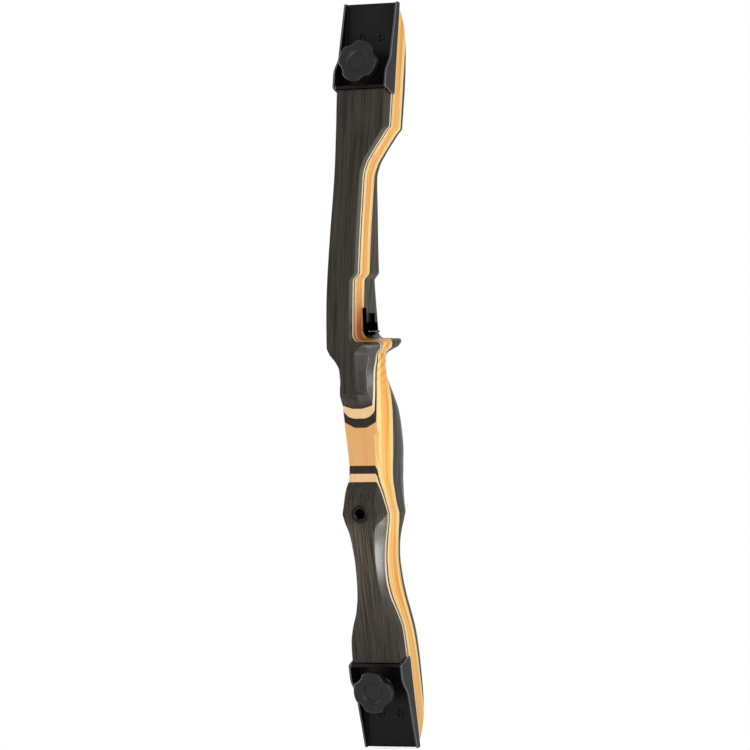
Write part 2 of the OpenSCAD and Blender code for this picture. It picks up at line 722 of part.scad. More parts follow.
// Outline of a side wall, along the base and out from it
drop_steps = 10;
wall_tip_r = 2;
wall_rise_len = 1.2;
function wall_drop(f) = mix(tall_wall, low_wall, (1 - cos(180 * f)) / 2);
wall_outline = concat(
    [[-wall_lap, -sheet], [-wall_lap, tall_wall * 0.26], [wall_rise_len, tall_wall]],
    [for (i = [0 : drop_steps]) [wall_drop_at + wall_drop_len * i / drop_steps, wall_drop(i / drop_steps)]],
    [for (i = [0 : 4]) [pocket_len - wall_tip_r * (1 - sin(22.5 * i)), tip_wall - wall_tip_r * (1 - cos(22.5 * i))]],
    [[pocket_len, -sheet]]
);
module pocket(side) {
    color(black_steel) placed() at_end(side) difference() {
        union() {
            translate([-pocket_w / 2, base_in, 0])
                cube([pocket_w, sheet, pocket_len]);
            translate([-pocket_w / 2 + sheet / 2, base_in - end_wall, 0])
                cube([pocket_w - sheet, end_wall + sheet / 2, end_wall_t]);
            for (x = [-pocket_w / 2 + sheet, pocket_w / 2])
                translate([x, base_in, 0])
                    rotate([0, -90, 0])
                        linear_extrude(height = sheet)
                            polygon([for (p = wall_outline) [p[0], -p[1]]]);
        }
        out_bar(bolt_d + 1, -2 * sheet, sheet);
        for (x = [-1, 1])
            screw_shape([x * screw_gap / 2, screw_at], bore_gap);
    }
}

// Countersunk head and shank of a pocket screw, grown by a gap
module screw_shape(at, gap) {
    out_bar(screw_d + 2 * gap, -sheet - screw_len, 0, at);
    out_bar(screw_d + 2 * gap, -sheet + 0.01, gap, at, screw_head_d + 4 * gap);
}
module pocket_screws(side) {
    cross_depth = 1.2;
    color(black_steel) placed() at_end(side)
        for (x = [-1, 1])
            difference() {
                screw_shape([x * screw_gap / 2, screw_at], 0);
                translate([x * screw_gap / 2, base_in, screw_at])
                    for (turn = [0, 90])
                        rotate([0, turn, 0])
                            translate([-screw_head_d * 0.3, -1, -cross_w / 2])
                                cube([screw_head_d * 0.6, 1 + cross_depth, cross_w]);
            }
}
module bolt_insert(side) {
    color(brass) placed() at_end(side) difference() {
        out_bar(insert_d, -sheet - insert_len, -sheet);
        out_bar(bolt_d + 2 * bore_gap, -sheet - insert_len - 1, 1);
    }
}

// Heights over the pocket's base along the bolt
knob_wall = 1.6;
hub_low = limb_gap + washer_t + run_gap;
head_low = hub_low + hub_t;
knob_top = head_low + head_t;
dish_floor = knob_top - dish_t;
cap_low = dish_floor - cap_t;
bolt_top = cap_low - knob_wall;
module on_bolt(side) {
    placed() at_end(side)
        translate([0, side < 0 ? -lower_bolt_out : 0, 0])
            children();
}
module washer(side) {
    color(zinc) on_bolt(side) difference() {
        out_bar(washer_d, limb_gap, limb_gap + washer_t);
        out_bar(bolt_d + 2 * run_gap, limb_gap - 1, limb_gap + washer_t + 1);
    }
}
module limb_bolt(side) {
    color(zinc) on_bolt(side)
        out_bar(bolt_d, hub_low - bolt_len, bolt_top);
}
module knob(side) {
    scallop_turn = side > 0 ? 24 : 46;
    scallop_mid = scallop_in + scallop_r;
    color(knob_plastic) on_bolt(side) difference() {
        union() {
            out_bar(hub_d, hub_low, head_low + 1);
            difference() {
                union() {
                    out_bar(knob_d, head_low, knob_top - knob_bevel);
                    out_bar(knob_d, knob_top - knob_bevel, knob_top, [0, bolt_at], knob_d - 2 * knob_bevel);
                }
                for (turn = [0 : 90 : 270])
                    out_bar(2 * scallop_r, head_low - 1, knob_top + 1,
                        [scallop_mid * cos(scallop_turn + turn), bolt_at + scallop_mid * sin(scallop_turn + turn)]);
            }
        }
        out_bar(bolt_d + 2 * bore_gap, hub_low - 1, bolt_top + run_gap);
        out_bar(cap_d + 2 * bore_gap, cap_low, knob_top);
        out_bar(cap_d + 2 * bore_gap, dish_floor, knob_top + 0.01, [0, bolt_at], dish_d);
    }
}
module knob_cap(side) {
    cap_bevel = 0.4;
    color(cap_plastic) on_bolt(side) {
        out_bar(cap_d, cap_low, dish_floor - cap_bevel);
        out_bar(cap_d, dish_floor - cap_bevel, dish_floor, [0, bolt_at], cap_d - 2 * cap_bevel);
    }
}

module stabiliser_bushing() {
    color(black_steel) placed() at_bushing() difference() {
        union() {
            translate([0, 0, -bushing_len])
                cylinder(h = bushing_len, d = bushing_d, $fn = 48);
            translate([0, 0, -bushing_flange_t])
                cylinder(h = bushing_flange_t + 0.4, d = bushing_flange_d, $fn = 48);
        }
        translate([0, 0, -bushing_len - 1])
            cylinder(h = bushing_len + 3, d = bushing_bore, $fn = 48);
    }
}

// The rest stands on the window wall: x out of the wall, y from its front edge
// and z from its lower edge
rest_corner = 4;
block_low = rest_base_h - rest_block_h;
module at_rest() {
    translate([-deep_cut, face_y(shelf_z) + rest_back, shelf_z + rest_up])
        children();
}
module rest_sheet(x, thickness, low) {
    translate([x, 0, 0])
        rotate([90, 0, 90])
            linear_extrude(height = thickness)
                difference() {
                    union() {
                        translate([rest_corner, 0]) square([rest_len - rest_corner, rest_base_h]);
                        translate([0, rest_corner]) square([rest_len, rest_base_h - rest_corner]);
                        translate([rest_corner, rest_corner]) circle(r = rest_corner, $fn = 32);
                        translate([0, rest_corner]) square([rest_bar_w, rest_h - rest_corner]);
                        translate([rest_len - rest_post_w, 0]) square([rest_post_w, rest_post_h]);
                    }
                    translate([-1, -1]) square([rest_len + 2, low + 1]);
                }
}
module rest_pad() {
    color(rest_plastic) placed() at_rest()
        rest_sheet(0, rest_pad_t, shelf_fillet - rest_up + run_gap);
}

// The wire arm's pivot pin stands in the block, just behind its front edge
block_x = rest_pad_t + rest_plate_t;
block_front = 0.6;
pin_at = [block_x + 1.5, block_front + 1.7];
wire_z = block_low - 2 * run_gap - wire_d / 2;
module rest_plate() {
    color(rest_plastic) placed() at_rest() difference() {
        union() {
            rest_sheet(rest_pad_t, rest_plate_t, 0);
            translate([block_x - 0.5, 0, block_low])
                linear_extrude(height = rest_block_h)
                    polygon([
                        [0, block_front], [rest_block_out - 0.6, block_front], [rest_block_out + 0.1, block_front + 1],
                        [rest_block_out + 0.5, rest_len - 3], [rest_block_out - 1, rest_len - 1], [0, rest_len - 1],
                    ]);
        }
        translate([pin_at[0], pin_at[1], block_low - 1])
            cylinder(h = 1 + arm_pin_len + run_gap, d = wire_d + 2 * bore_gap, $fn = 32);
    }
}
module rest_arm() {
    bend_r = (pow(arm_len, 2) + pow(arm_reach, 2)) / (2 * arm_reach);
    bend = 2 * atan(arm_reach / arm_len);
    color(zinc) placed() at_rest() translate([pin_at[0], pin_at[1], wire_z]) {
        cylinder(h = block_low - wire_z + arm_pin_len, d = wire_d, $fn = 32);
        sphere(d = wire_d, $fn = 32);
        translate([bend_r, 0, 0])
            rotate([0, 0, 180 - bend])
                rotate_extrude(angle = bend, $fn = 96)
                    translate([bend_r, 0]) circle(d = wire_d, $fn = 32);
        translate([arm_reach, arm_len, 0])
            sphere(d = wire_d, $fn = 32);
    }
}

face_layer_upper();
face_layer_lower();
cream_veneer_upper();
cream_veneer_lower();
dark_veneer_upper();
dark_veneer_lower();
pale_core_front();
honey_core();
pale_core_rear();
belly_layer();
pocket(1);  // upper_pocket
pocket(-1);  // lower_pocket
pocket_screws(1);  // upper_pocket_screws
pocket_screws(-1);  // lower_pocket_screws
bolt_insert(1);  // upper_bolt_insert
bolt_insert(-1);  // lower_bolt_insert
limb_bolt(1);  // upper_limb_bolt
limb_bolt(-1);  // lower_limb_bolt
washer(1);  // upper_washer
washer(-1);  // lower_washer
knob(1);  // upper_knob
knob(-1);  // lower_knob
knob_cap(1);  // upper_knob_cap
knob_cap(-1);  // lower_knob_cap
stabiliser_bushing();
rest_pad();
rest_plate();
rest_arm();
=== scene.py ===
"""Looks of a takedown recurve riser: laminated wood, limb pockets, knobs, bushing and arrow rest.

The shapes are worked out in millimetres in the riser's own measuring frame, whose height 0 is the
riser's middle, and are carried to the frame's metres as they are made. The face looks along -Y,
the archer stands on +Y, the sight window is on +X and the upper limb is up.
"""

import bisect
import logging
import math
from collections.abc import Callable, Sequence
from dataclasses import dataclass, field
from enum import Enum

import bmesh
import bpy
from mathutils import Matrix, Vector

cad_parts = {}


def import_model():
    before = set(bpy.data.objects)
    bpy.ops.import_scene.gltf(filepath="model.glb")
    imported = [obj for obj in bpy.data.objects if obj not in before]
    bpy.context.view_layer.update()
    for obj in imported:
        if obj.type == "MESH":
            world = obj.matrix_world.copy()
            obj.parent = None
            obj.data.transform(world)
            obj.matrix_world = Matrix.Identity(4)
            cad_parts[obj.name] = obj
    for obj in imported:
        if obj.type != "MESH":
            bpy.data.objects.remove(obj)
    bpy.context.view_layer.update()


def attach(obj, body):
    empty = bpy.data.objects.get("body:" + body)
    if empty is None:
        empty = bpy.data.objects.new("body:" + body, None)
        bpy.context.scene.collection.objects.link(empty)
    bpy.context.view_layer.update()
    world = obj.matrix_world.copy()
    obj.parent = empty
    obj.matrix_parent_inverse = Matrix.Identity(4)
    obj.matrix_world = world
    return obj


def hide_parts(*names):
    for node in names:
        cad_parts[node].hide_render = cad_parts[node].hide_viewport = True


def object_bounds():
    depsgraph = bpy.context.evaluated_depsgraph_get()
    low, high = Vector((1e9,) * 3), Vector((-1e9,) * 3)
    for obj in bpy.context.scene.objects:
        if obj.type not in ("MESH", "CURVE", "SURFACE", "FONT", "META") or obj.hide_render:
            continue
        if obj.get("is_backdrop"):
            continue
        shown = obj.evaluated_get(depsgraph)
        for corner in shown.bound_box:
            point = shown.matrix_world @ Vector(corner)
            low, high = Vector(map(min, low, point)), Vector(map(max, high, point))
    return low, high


MM = 0.001
EDGE_MARK = "rounded"
CLOUD_SHOWS = (0.35, 0.7)
Rgb = tuple[int, int, int]
log = logging.getLogger("riser")


def clamp(value: float, low: float, high: float) -> float:
    """A value kept between two limits."""
    return max(low, min(high, value))


def mix(start: float, end: float, share: float) -> float:
    """A value part of the way between two others."""
    return start + (end - start) * share


def quarter(i: int, count: int) -> float:
    """The angle after i of the even steps that make a quarter turn."""
    return math.pi / 2 * i / count


def steps(start: float, end: float, longest: float) -> list[float]:
    """Even steps from start up to, and without, end.

    Args:
        start: The first value.
        end: The value that the steps lead to.
        longest: The longest that a step may be.

    Returns:
        The values, start among them.
    """
    count = max(1, math.ceil((end - start) / longest))
    return [mix(start, end, i / count) for i in range(count)]


def shade(colour: Rgb, share: float, lift: int = 0) -> Rgb:
    """A colour made darker or lighter by a share, then lifted."""
    red, green, blue = (min(255, int(value * share) + lift) for value in colour)
    return red, green, blue


def linear(colour: Rgb) -> tuple[float, float, float, float]:
    """A colour as it is seen, in 0 to 255, as the linear colour that a shader holds.

    Args:
        colour: Red, green and blue as they are seen, from 0 to 255.

    Returns:
        The linear colour, with a full alpha.
    """
    parts = [value / 255 for value in colour]
    knee, straight = 0.04045, 12.92
    flat = [
        part / straight if part <= knee else ((part + 0.055) / 1.055) ** 2.4 for part in parts
    ]
    return flat[0], flat[1], flat[2], 1.0


class Profile:
    """A smooth curve through given rows, which never swings past its points."""

    def __init__(self, rows: Sequence[Sequence[float]], corner: float | None = None) -> None:
        """Keeps the rows.

        Args:
            rows: Rows of a height and one or more values at it, lowest first.
            corner: Height of a row where the curve turns sharply, if any.
        """
        self.heights = [row[0] for row in rows]
        self.values = [row[1:] for row in rows]
        self.corner = corner

    def rows(self, low: float, high: float) -> list[tuple[float, ...]]:
        """The rows that it was made from, between two heights."""
        pairs = zip(self.heights, self.values)
        return [(height, *values) for height, values in pairs if low < height < high]

    def _rise(self, i: int, column: int) -> float:
        """Slope of the straight line from one row to the next."""
        run = self.heights[i + 1] - self.heights[i]
        return (self.values[i + 1][column] - self.values[i][column]) / run

    def _slope(self, i: int, column: int, above: bool) -> float:
        """Slope of the curve at a row, just above or just below it.

        Args:
            i: The row.
            column: Which of its values.
            above: True for just above it.

        Returns:
            The slope.
        """
        if i == 0 or i == len(self.heights) - 1:
            return 0.0
        if self.heights[i] == self.corner:
            return self._rise(i if above else i - 1, column)
        before, after = self._rise(i - 1, column), self._rise(i, column)
        return 2 * before * after / (before + after) if before * after > 0 else 0.0

    def at(self, height: float, column: int = 0) -> float:
        """Value of one column at a height.

        Args:
            height: Where to read the curve; past its ends it keeps its end value.
            column: Which of the row's values.

        Returns:
            The value there.
        """
        i = int(clamp(bisect.bisect_left(self.heights, height) - 1, 0, len(self.heights) - 2))
        run = self.heights[i + 1] - self.heights[i]
        share = clamp((height - self.heights[i]) / run, 0, 1)
        rest = 1 - share
        return (
            self.values[i][column] * (1 + 2 * share) * rest * rest
            + self._slope(i, column, True) * run * share * rest * rest
            + self.values[i + 1][column] * share * share * (3 - 2 * share)
            - self._slope(i + 1, column, False) * run * share * share * rest
        )


class End(Enum):
    """The two ends of the riser."""

    UPPER = 1
    LOWER = -1

    @property
    def word(self) -> str:
        """The end's name, as the nodes have it."""
        return self.name.lower()


@dataclass
class Blank:
    """The carved riser: heights run up its middle, depths run in behind its face line."""

    length: float = 610
    wood_w: float = 45
    lean: float = 11
    curve_half: float = 131
    wood_end_gap: float = 5
    face_layer: float = 10.5
    cream_layer: float = 2
    dark_layer: float = 1.6
    pale_front_layer: float = 4.5
    honey_layer: float = 8
    pale_rear_layer: float = 5
    end_depth: float = 39
    throat_up: float = 9.8
    throat_depth: float = 39
    throat_face_w: float = 19
    throat_w: float = 31
    palm_depth: float = 67
    palm_w: float = 38.6
    hollow_depth: float = 15
    bulge_w: float = 40.4
    bulge_face_w: float = 31.4
    waist_w: float = 30
    waist_face_w: float = 18.6
    shelf_up: float = 21
    shelf_reach: float = 22.3
    shelf_crown: float = 4.4
    shelf_fillet: float = 5.5
    shelf_lip: float = 0.5
    deep_cut: float = 3.2
    deep_cut_h: float = 46.8
    jog_h: float = 7
    window_wall: float = 1.2
    window_flare: float = 1.8
    window_h: float = 132.4
    sweep_len: float = 40
    sweep_lean: float = 0.1
    bushing_down: float = 121
    pocket_len: float = 74.5
    sheet: float = 1.6
    tip_wall: float = 4.5
    tip_taper: float = 73
    face_mid_y: float = -44
    crown_below: float = 22
    crown_above: float = 45
    feather: float = 0.06

    def __post_init__(self) -> None:
        """Works out the heights, the depths of the layers and the carved curves."""
        self.half_len = self.length / 2
        self.half_w = self.wood_w / 2
        self.tilt = math.radians(self.lean)
        self.lean_x = math.tan(self.tilt)
        self.cream_at = self.face_layer
        self.dark_at = self.cream_at + self.cream_layer
        self.core_at = self.dark_at + self.dark_layer
        self.honey_at = self.core_at + self.pale_front_layer
        self.rear_at = self.honey_at + self.honey_layer
        self.belly_at = self.rear_at + self.pale_rear_layer
        self.base_in = self.core_at * math.cos(self.tilt) - self.sheet
        self.wall_z = (
            self.half_len
            - self.pocket_len * math.cos(self.tilt)
            + (self.base_in - self.tip_wall) * math.sin(self.tilt)
        )
        self.throat_z = self.throat_up
        self.shelf_z = self.throat_z + self.shelf_up
        self.shelf_edge_z = self.shelf_z - self.shelf_lip
        self.deep_top_z = self.shelf_z + self.deep_cut_h
        self.jog_top_z = self.deep_top_z + self.jog_h
        self.window_top_z = self.shelf_z + self.window_h
        self.sweep_top_z = self.window_top_z + self.sweep_len
        self.bulge_z = self.throat_z - self.bushing_down
        self.wood_end_z = self.half_len - self.wood_end_gap
        self._set_sides()
        self._set_depths()
        self._set_edges()
        self._set_layer_ends()

    def lower_z(self, share: float) -> float:
        """Height at a share of the way from the bushing down to the lower pocket."""
        return mix(self.bulge_z, -self.wall_z, share)

    def hand_z(self, share: float) -> float:
        """Height at a share of the way from the throat down to the bushing."""
        return mix(self.throat_z, self.bulge_z, share)

    def neck_z(self, share: float) -> float:
        """Height at a share of the way from the throat up to the shelf."""
        return mix(self.throat_z, self.shelf_z, share)

    def window_z(self, share: float) -> float:
        """Height at a share of the way up the sight window."""
        return mix(self.shelf_z, self.window_top_z, share)

    def tip_z(self, share: float) -> float:
        """Height at a share of the way in from a tip to where the wood is at full thickness."""
        return self.half_len - share * self.tip_taper

    def _set_sides(self) -> None:
        """Half widths at the face, behind the face layer and at the belly layer, on both sides."""
        half, low, bulge = self.half_w, self.lower_z, self.bulge_z
        hand, neck_at, up = self.hand_z, self.neck_z, self.window_z
        waist_f, waist = self.waist_face_w / 2, self.waist_w / 2
        swell_f, swell = self.bulge_face_w / 2, self.bulge_w / 2
        palm, neck_f, neck = self.palm_w / 2, self.throat_face_w / 2, self.throat_w / 2
        reach, shelf, edge = self.shelf_reach, self.shelf_z, self.shelf_edge_z
        window, sweep = self.window_top_z, self.sweep_top_z
        grip = [
            (-self.half_len, half, half, half),
            (-self.wall_z, half - 0.5, half, half),
            (low(0.87), half - 1.4, half - 0.2, half - 0.5),
            (low(0.77), half - 4.2, half - 0.7, half - 1.5),
            (low(0.66), waist_f + 4.1, waist + 3.2, waist + 3.8),
            (low(0.55), waist_f + 1.4, waist - 1.2, waist + 1.6),
            (low(0.44), waist_f + 0.3, waist - 3, waist + 0.3),
            (low(0.33), waist_f, waist - 2.4, waist),
            (low(0.21), waist_f + 0.9, waist - 0.2, waist + 1.4),
            (low(0.13), swell_f - 4.4, swell - 3.2, swell - 2.4),
            (low(0.055), swell_f - 1.5, swell - 1, swell - 0.8),
            (bulge, swell_f, swell, swell),
            (hand(0.926), swell_f - 2.3, swell - 1.9, swell - 1.6),
            (hand(0.851), swell_f - 4.3, swell - 4.3, swell - 2.3),
            (hand(0.785), neck_f + 0.5, neck - 2.5, palm - 2),
            (hand(0.719), neck_f - 0.5, neck - 4.3, palm - 1.6),
            (hand(0.587), neck_f - 0.5, neck - 5, palm),
            (hand(0.446), neck_f + 0.5, neck - 4.2, palm + 1.1),
            (hand(0.314), neck_f + 1.5, neck - 2.7, palm + 1.6),
            (hand(0.215), neck_f + 1.5, neck - 1.3, palm + 0.9),
            (hand(0.157), neck_f + 0.8, neck - 0.7, palm + 0.2),
            (hand(0.099), neck_f + 0.1, neck - 0.3, palm),
        ]
        self.left_side = Profile(grip + [
            (hand(0.033), neck_f + 1, neck + 0.4, palm + 0.1),
            (neck_at(0.143), neck_f + 4.6, neck + 2.1, palm - 0.1),
            (neck_at(0.476), half - 3.2, half - 2, half - 2),
            (neck_at(0.857), half - 0.8, half, half - 0.5),
            (up(0.166), half - 0.6, half, half),
            (up(0.675), half - 2.1, half - 1, half - 0.5),
            (window, half - 2.8, half - 1.7, half - 1),
            (sweep, half - 1.7, half - 0.5, half),
            (self.wall_z, half - 0.5, half, half),
            (self.half_len, half, half, half),
        ], corner=bulge)
        carved = [(z, *widths) for z, *widths in grip if z < hand(0.25)] + [
            (hand(0.215), neck_f + 4, neck - 1.3, palm + 0.9),
            (hand(0.157), neck_f + 3, neck - 0.7, palm + 0.2),
            (hand(0.099), neck_f + 1.4, neck - 0.3, palm),
        ]
        self.right_side = Profile(carved + [
            (hand(0.041), neck_f - 0.3, neck + 0.1, palm + 0.2),
            (neck_at(0.143), neck_f + 0.1, neck + 1.8, palm - 0.1),
            (neck_at(0.429), neck_f + 0.7, reach - 4, palm - 2),
            (neck_at(0.571), neck_f + 0.9, reach - 2.2, reach - 2.6),
            (neck_at(0.667), neck_f + 1, reach - 0.6, reach - 0.4),
            (neck_at(0.81), neck_f + 1.1, reach, reach),
            (edge - 0.9, neck_f + 0.9, reach - 1.1, reach - 0.8),
            (edge, neck_f, reach - 2.8, reach - 2.4),
            (shelf, half - 1, half - 1, half - 1),
            (window, half - 2, half - 1, half),
            (sweep, half - 0.8, half, half),
            (self.wall_z, half - 1, half, half),
            (self.half_len, half, half, half),
        ], corner=bulge)
        wall, length = self.window_wall, self.sweep_len
        self.window_line = Profile([
            (shelf, -self.deep_cut),
            (self.deep_top_z, -self.deep_cut),
            (self.jog_top_z, wall),
            (window, wall),
            (window + 0.25 * length, mix(wall, half, 0.11)),
            (window + 0.5 * length, mix(wall, half, 0.37)),
            (window + 0.74 * length, mix(wall, half, 0.66)),
            (window + 0.91 * length, mix(wall, half, 0.87)),
            (sweep, half),
        ])

    def _set_depths(self) -> None:
        """How far the belly lies behind the face line, and how deep the finger hollow is."""
        end, low, throat = self.end_depth, self.lower_z, self.throat_z
        hand, neck_at, up, tip = self.hand_z, self.neck_z, self.window_z, self.tip_z
        neck, palm, shelf, bulge = self.throat_depth, self.palm_depth, self.shelf_z, self.bulge_z
        tips = [
            (0, 17), (0.068, 19.5), (0.151, 24.5), (0.301, end - 7.8), (0.479, end - 3.8),
            (0.658, end - 1.8), (1, end - 0.4),
        ]
        self.belly_line = Profile([(-tip(share), deep) for share, deep in tips] + [
            (low(0.66), end + 1.2), (low(0.33), end + 0.9), (low(0.21), end + 1.3),
            (low(0.13), end + 4), (low(0.055), end + 8.5), (bulge, end + 12.5),
            (hand(0.893), palm - 8), (hand(0.793), palm - 2), (hand(0.694), palm),
            (hand(0.587), palm), (hand(0.471), palm - 2.7), (hand(0.306), palm - 9.6),
            (hand(0.198), neck + 11.1), (hand(0.132), neck + 6), (hand(0.074), neck + 1.9),
            (hand(0.033), neck + 0.3), (throat, neck), (neck_at(0.19), neck + 1.7),
            (neck_at(0.381), neck + 6.3), (neck_at(0.524), neck + 11.2), (neck_at(0.714), neck + 18.6),
            (neck_at(0.857), neck + 22), (shelf, neck + 22.8), (up(0.113), neck + 20.5),
            (up(0.34), neck + 14.6), (up(0.551), neck + 10.4), (up(0.748), neck + 6.6),
            (self.window_top_z, end + 1), (self.window_top_z + 0.6 * self.sweep_len, end - 1.1),
            (self.sweep_top_z, end - 1),
        ] + [(tip(share), deep) for share, deep in reversed(tips)])
        deep = self.hollow_depth
        self.hollow_line = Profile([
            (hand(0.959), 0), (hand(0.926), 0.6), (hand(0.876), 3), (hand(0.826), 0.48 * deep),
            (hand(0.785), 0.7 * deep), (hand(0.731), 0.83 * deep), (hand(0.669), 0.945 * deep),
            (hand(0.57), deep), (hand(0.421), 0.935 * deep), (hand(0.355), 0.82 * deep),
            (hand(0.289), 0.68 * deep), (hand(0.24), 0.37 * deep), (hand(0.19), 1.2),
            (hand(0.14), 0),
        ])

    def _set_edges(self) -> None:
        """Rounding of the corners: how far it reaches in from the side, how deep, how hollow.

        The last value, of the face's edges alone, is 1 for a flat facet and 0.5 for a bowl.
        """
        low, shelf, top = self.lower_z, self.shelf_z, self.half_len
        hand, neck_at, up = self.hand_z, self.neck_z, self.window_z
        self.face_edges = Profile([
            (low(0.06), 0.3, 0.3, 0.5), (self.bulge_z, 0.3, 0.3, 0.5), (hand(0.851), 1.5, 0.5, 0.5),
            (hand(0.727), 1.5, 0.6, 0.5), (hand(0.65), 0.6, 0.6, 0.5), (hand(0.5), 0.6, 0.6, 0.5),
            (hand(0.43), 11.5, 0.9, 0.5), (hand(0.36), 12, 0.95, 0.5),
            (hand(0.3), 11.5, 1.5, 0.5), (hand(0.24), 9, 1.6, 0.5), (hand(0.19), 5, 1.2, 0.5),
            (hand(0.14), 2.5, 0.7, 0.5), (hand(0.06), 1, 0.6, 0.5), (shelf, 0.5, 0.5, 0.5),
        ])
        lower = self.face_edges.rows(-top, hand(0.7))
        bands = self.face_edges.rows(hand(0.45), hand(0.22))
        scoop = [(hand(0.65), 2.3, 2.8, 0.8), (hand(0.58), 2.3, 3.4, 1), (hand(0.48), 2.6, 3.2, 1)]
        self.carved_edges = Profile(lower + scoop + bands + [
            (hand(0.19), 7, 2.2, 0.7), (hand(0.14), 7, 4, 1), (hand(0.06), 7, 5, 1),
            (neck_at(0.4), 7, 5.5, 1), (neck_at(0.75), 4, 3, 0.8), (neck_at(0.9), 1, 1, 0.5),
            (shelf, 0.5, 0.5, 0.5),
        ])
        belly = [
            (-top, 4, 4), (low(0.66), 5, 6), (low(0.2), 6, 8), (self.bulge_z, 8, 12),
            (hand(0.793), 14, 23), (hand(0.587), 15, 25), (hand(0.306), 14, 22),
            (hand(0.074), 14, 20), (neck_at(0.238), 15, 20),
        ]
        self.left_edges = Profile(belly + [
            (neck_at(0.857), 12, 14), (up(0.151), 6, 7), (self.window_top_z, 5, 5), (top, 4, 4),
        ])
        self.right_edges = Profile(belly + [
            (neck_at(0.619), 14, 18), (self.shelf_edge_z, 13, 16), (shelf, 4, 4), (top, 4, 4),
        ])

    def _set_layer_ends(self) -> None:
        """Heights at which the hollow or the belly cuts through a layer."""
        middle, start = self.hand_z(0.57), self.half_len - self.tip_taper
        fronts = [depth - self.feather for depth in (self.cream_at, self.dark_at, self.core_at)]
        hollow, belly = self.hollow_in, self.belly_line.at
        self.upper_ends = [self.crossing(hollow, depth, middle, self.throat_z) for depth in fronts]
        self.lower_ends = [self.crossing(hollow, depth, middle, self.bulge_z) for depth in fronts]
        belly_at, rear_at = (depth + self.feather for depth in (self.belly_at, self.rear_at))
        self.belly_end_z = self.crossing(belly, belly_at, start, self.half_len)
        rear_end_z = self.crossing(belly, rear_at, start, self.half_len)
        self.rear_end_z = min(self.wood_end_z, rear_end_z)

    def face_y(self, height: float) -> float:
        """The face line leans back at both ends and is a parabola between them.

        Args:
            height: A height.

        Returns:
            Where the face line is there, from front to back.
        """
        far = abs(height)
        if far < self.curve_half:
            return self.face_mid_y + self.lean_x * far * far / (2 * self.curve_half)
        return self.face_mid_y + self.lean_x * (far - self.curve_half / 2)

    def face_slope(self, height: float) -> float:
        """How fast the face line leans back at a height."""
        return self.lean_x * clamp(height / self.curve_half, -1, 1)

    def hollow_in(self, height: float) -> float:
        """Depth of the finger hollow at a height."""
        ends = self.hollow_line.heights
        return self.hollow_line.at(height) if ends[0] < height < ends[-1] else 0.0

    def crossing(
        self, value: Callable[[float], float], depth: float, inside: float, outside: float
    ) -> float:
        """Height at which a value falls to a depth, found by halving.

        Args:
            value: The depth of the hollow or of the belly at a height.
            depth: The depth that is looked for.
            inside: A height where the value is more.
            outside: A height where it is less.

        Returns:
            The height between them.
        """
        halvings = 24
        for _ in range(halvings):
            middle = (inside + outside) / 2
            if value(middle) > depth:
                inside = middle
            else:
                outside = middle
        return (inside + outside) / 2

    def window_x(self, height: float, depth: float) -> float:
        """Where the sight window's wall stands.

        Args:
            height: A height above the shelf.
            depth: A depth behind the face line.

        Returns:
            How far to the right the wall stands there.
        """
        flare = self.window_flare * max(0.0, 1 - depth / self.cream_at)
        fillet, up = self.shelf_fillet, height - self.shelf_z
        if up < fillet:
            left = math.sqrt(max(0.0, fillet**2 - (fillet - up) ** 2))
            return flare - self.deep_cut + fillet - left
        if height >= self.window_top_z:
            height = max(self.window_top_z, height + self.sweep_lean * (depth - self.cream_at))
        return flare + self.window_line.at(height)

    def side_x(self, side: Profile, height: float, depth: float) -> float:
        """Half width of one side, before its corners are rounded.

        Args:
            side: The side's half widths.
            height: A height.
            depth: A depth behind the face line.

        Returns:
            The half width there.
        """
        behind = side.at(height, 1)
        if depth < self.cream_at:
            return mix(side.at(height, 0), behind, depth / self.cream_at)
        share = clamp((depth - self.cream_at) / (self.belly_at - self.cream_at), 0, 1)
        return mix(behind, side.at(height, 2), math.sin(math.pi / 2 * share))

    def edge_inset(self, height: float, depth: float, front: Profile, back: Profile) -> float:
        """How far the rounded corners take a side in.

        Args:
            height: A height.
            depth: A depth behind the face line.
            front: Rounding of the side's front corner.
            back: Rounding of its back corner.

        Returns:
            How far both take it in there.
        """
        past_face = clamp((depth - self.hollow_in(height)) / front.at(height, 1), 0, 1)
        to_belly = clamp((self.belly_line.at(height) - depth) / back.at(height, 1), 0, 1)
        before = front.at(height, 0) * (1 - past_face ** front.at(height, 2))
        return before + back.at(height, 0) * (1 - math.sqrt(1 - (1 - to_belly) ** 2))

    def point(self, height: float, depth: float, right: bool, wall: int = 0) -> Vector:
        """One point of the riser's skin, in the frame's metres.

        Args:
            height: Height up the riser.
            depth: Depth behind the face line.
            right: True on the sight window's side.
            wall: 1 or -1 for a cut that leans with the upper or lower pocket's end wall.

        Returns:
            The point.
        """
        height -= wall * depth * math.sin(self.tilt) * math.cos(self.tilt)
        if right:
            x = self.side_x(self.right_side, height, depth)
            if height >= self.shelf_z:
                x = min(x, self.window_x(height, depth))
            x -= self.edge_inset(height, depth, self.carved_edges, self.right_edges)
        else:
            x = self.edge_inset(height, depth, self.face_edges, self.left_edges)
            x -= self.side_x(self.left_side, height, depth)
        return self.placed(x, self.face_y(height) + depth, height - self.crown_fall(height, depth))

    def crown_fall(self, height: float, depth: float) -> float:
        """Near the shelf every height sags towards the face.

        Args:
            height: A height.
            depth: A depth behind the face line.

        Returns:
            How far it sags there.
        """
        below = (self.shelf_z - height) / self.crown_below
        away = below if height < self.shelf_z else (height - self.shelf_z) / self.crown_above
        share = (1 - clamp(depth / self.belly_at, 0, 1)) ** 1.5
        return self.shelf_crown * share * (1 - clamp(away, 0, 1)) ** 2

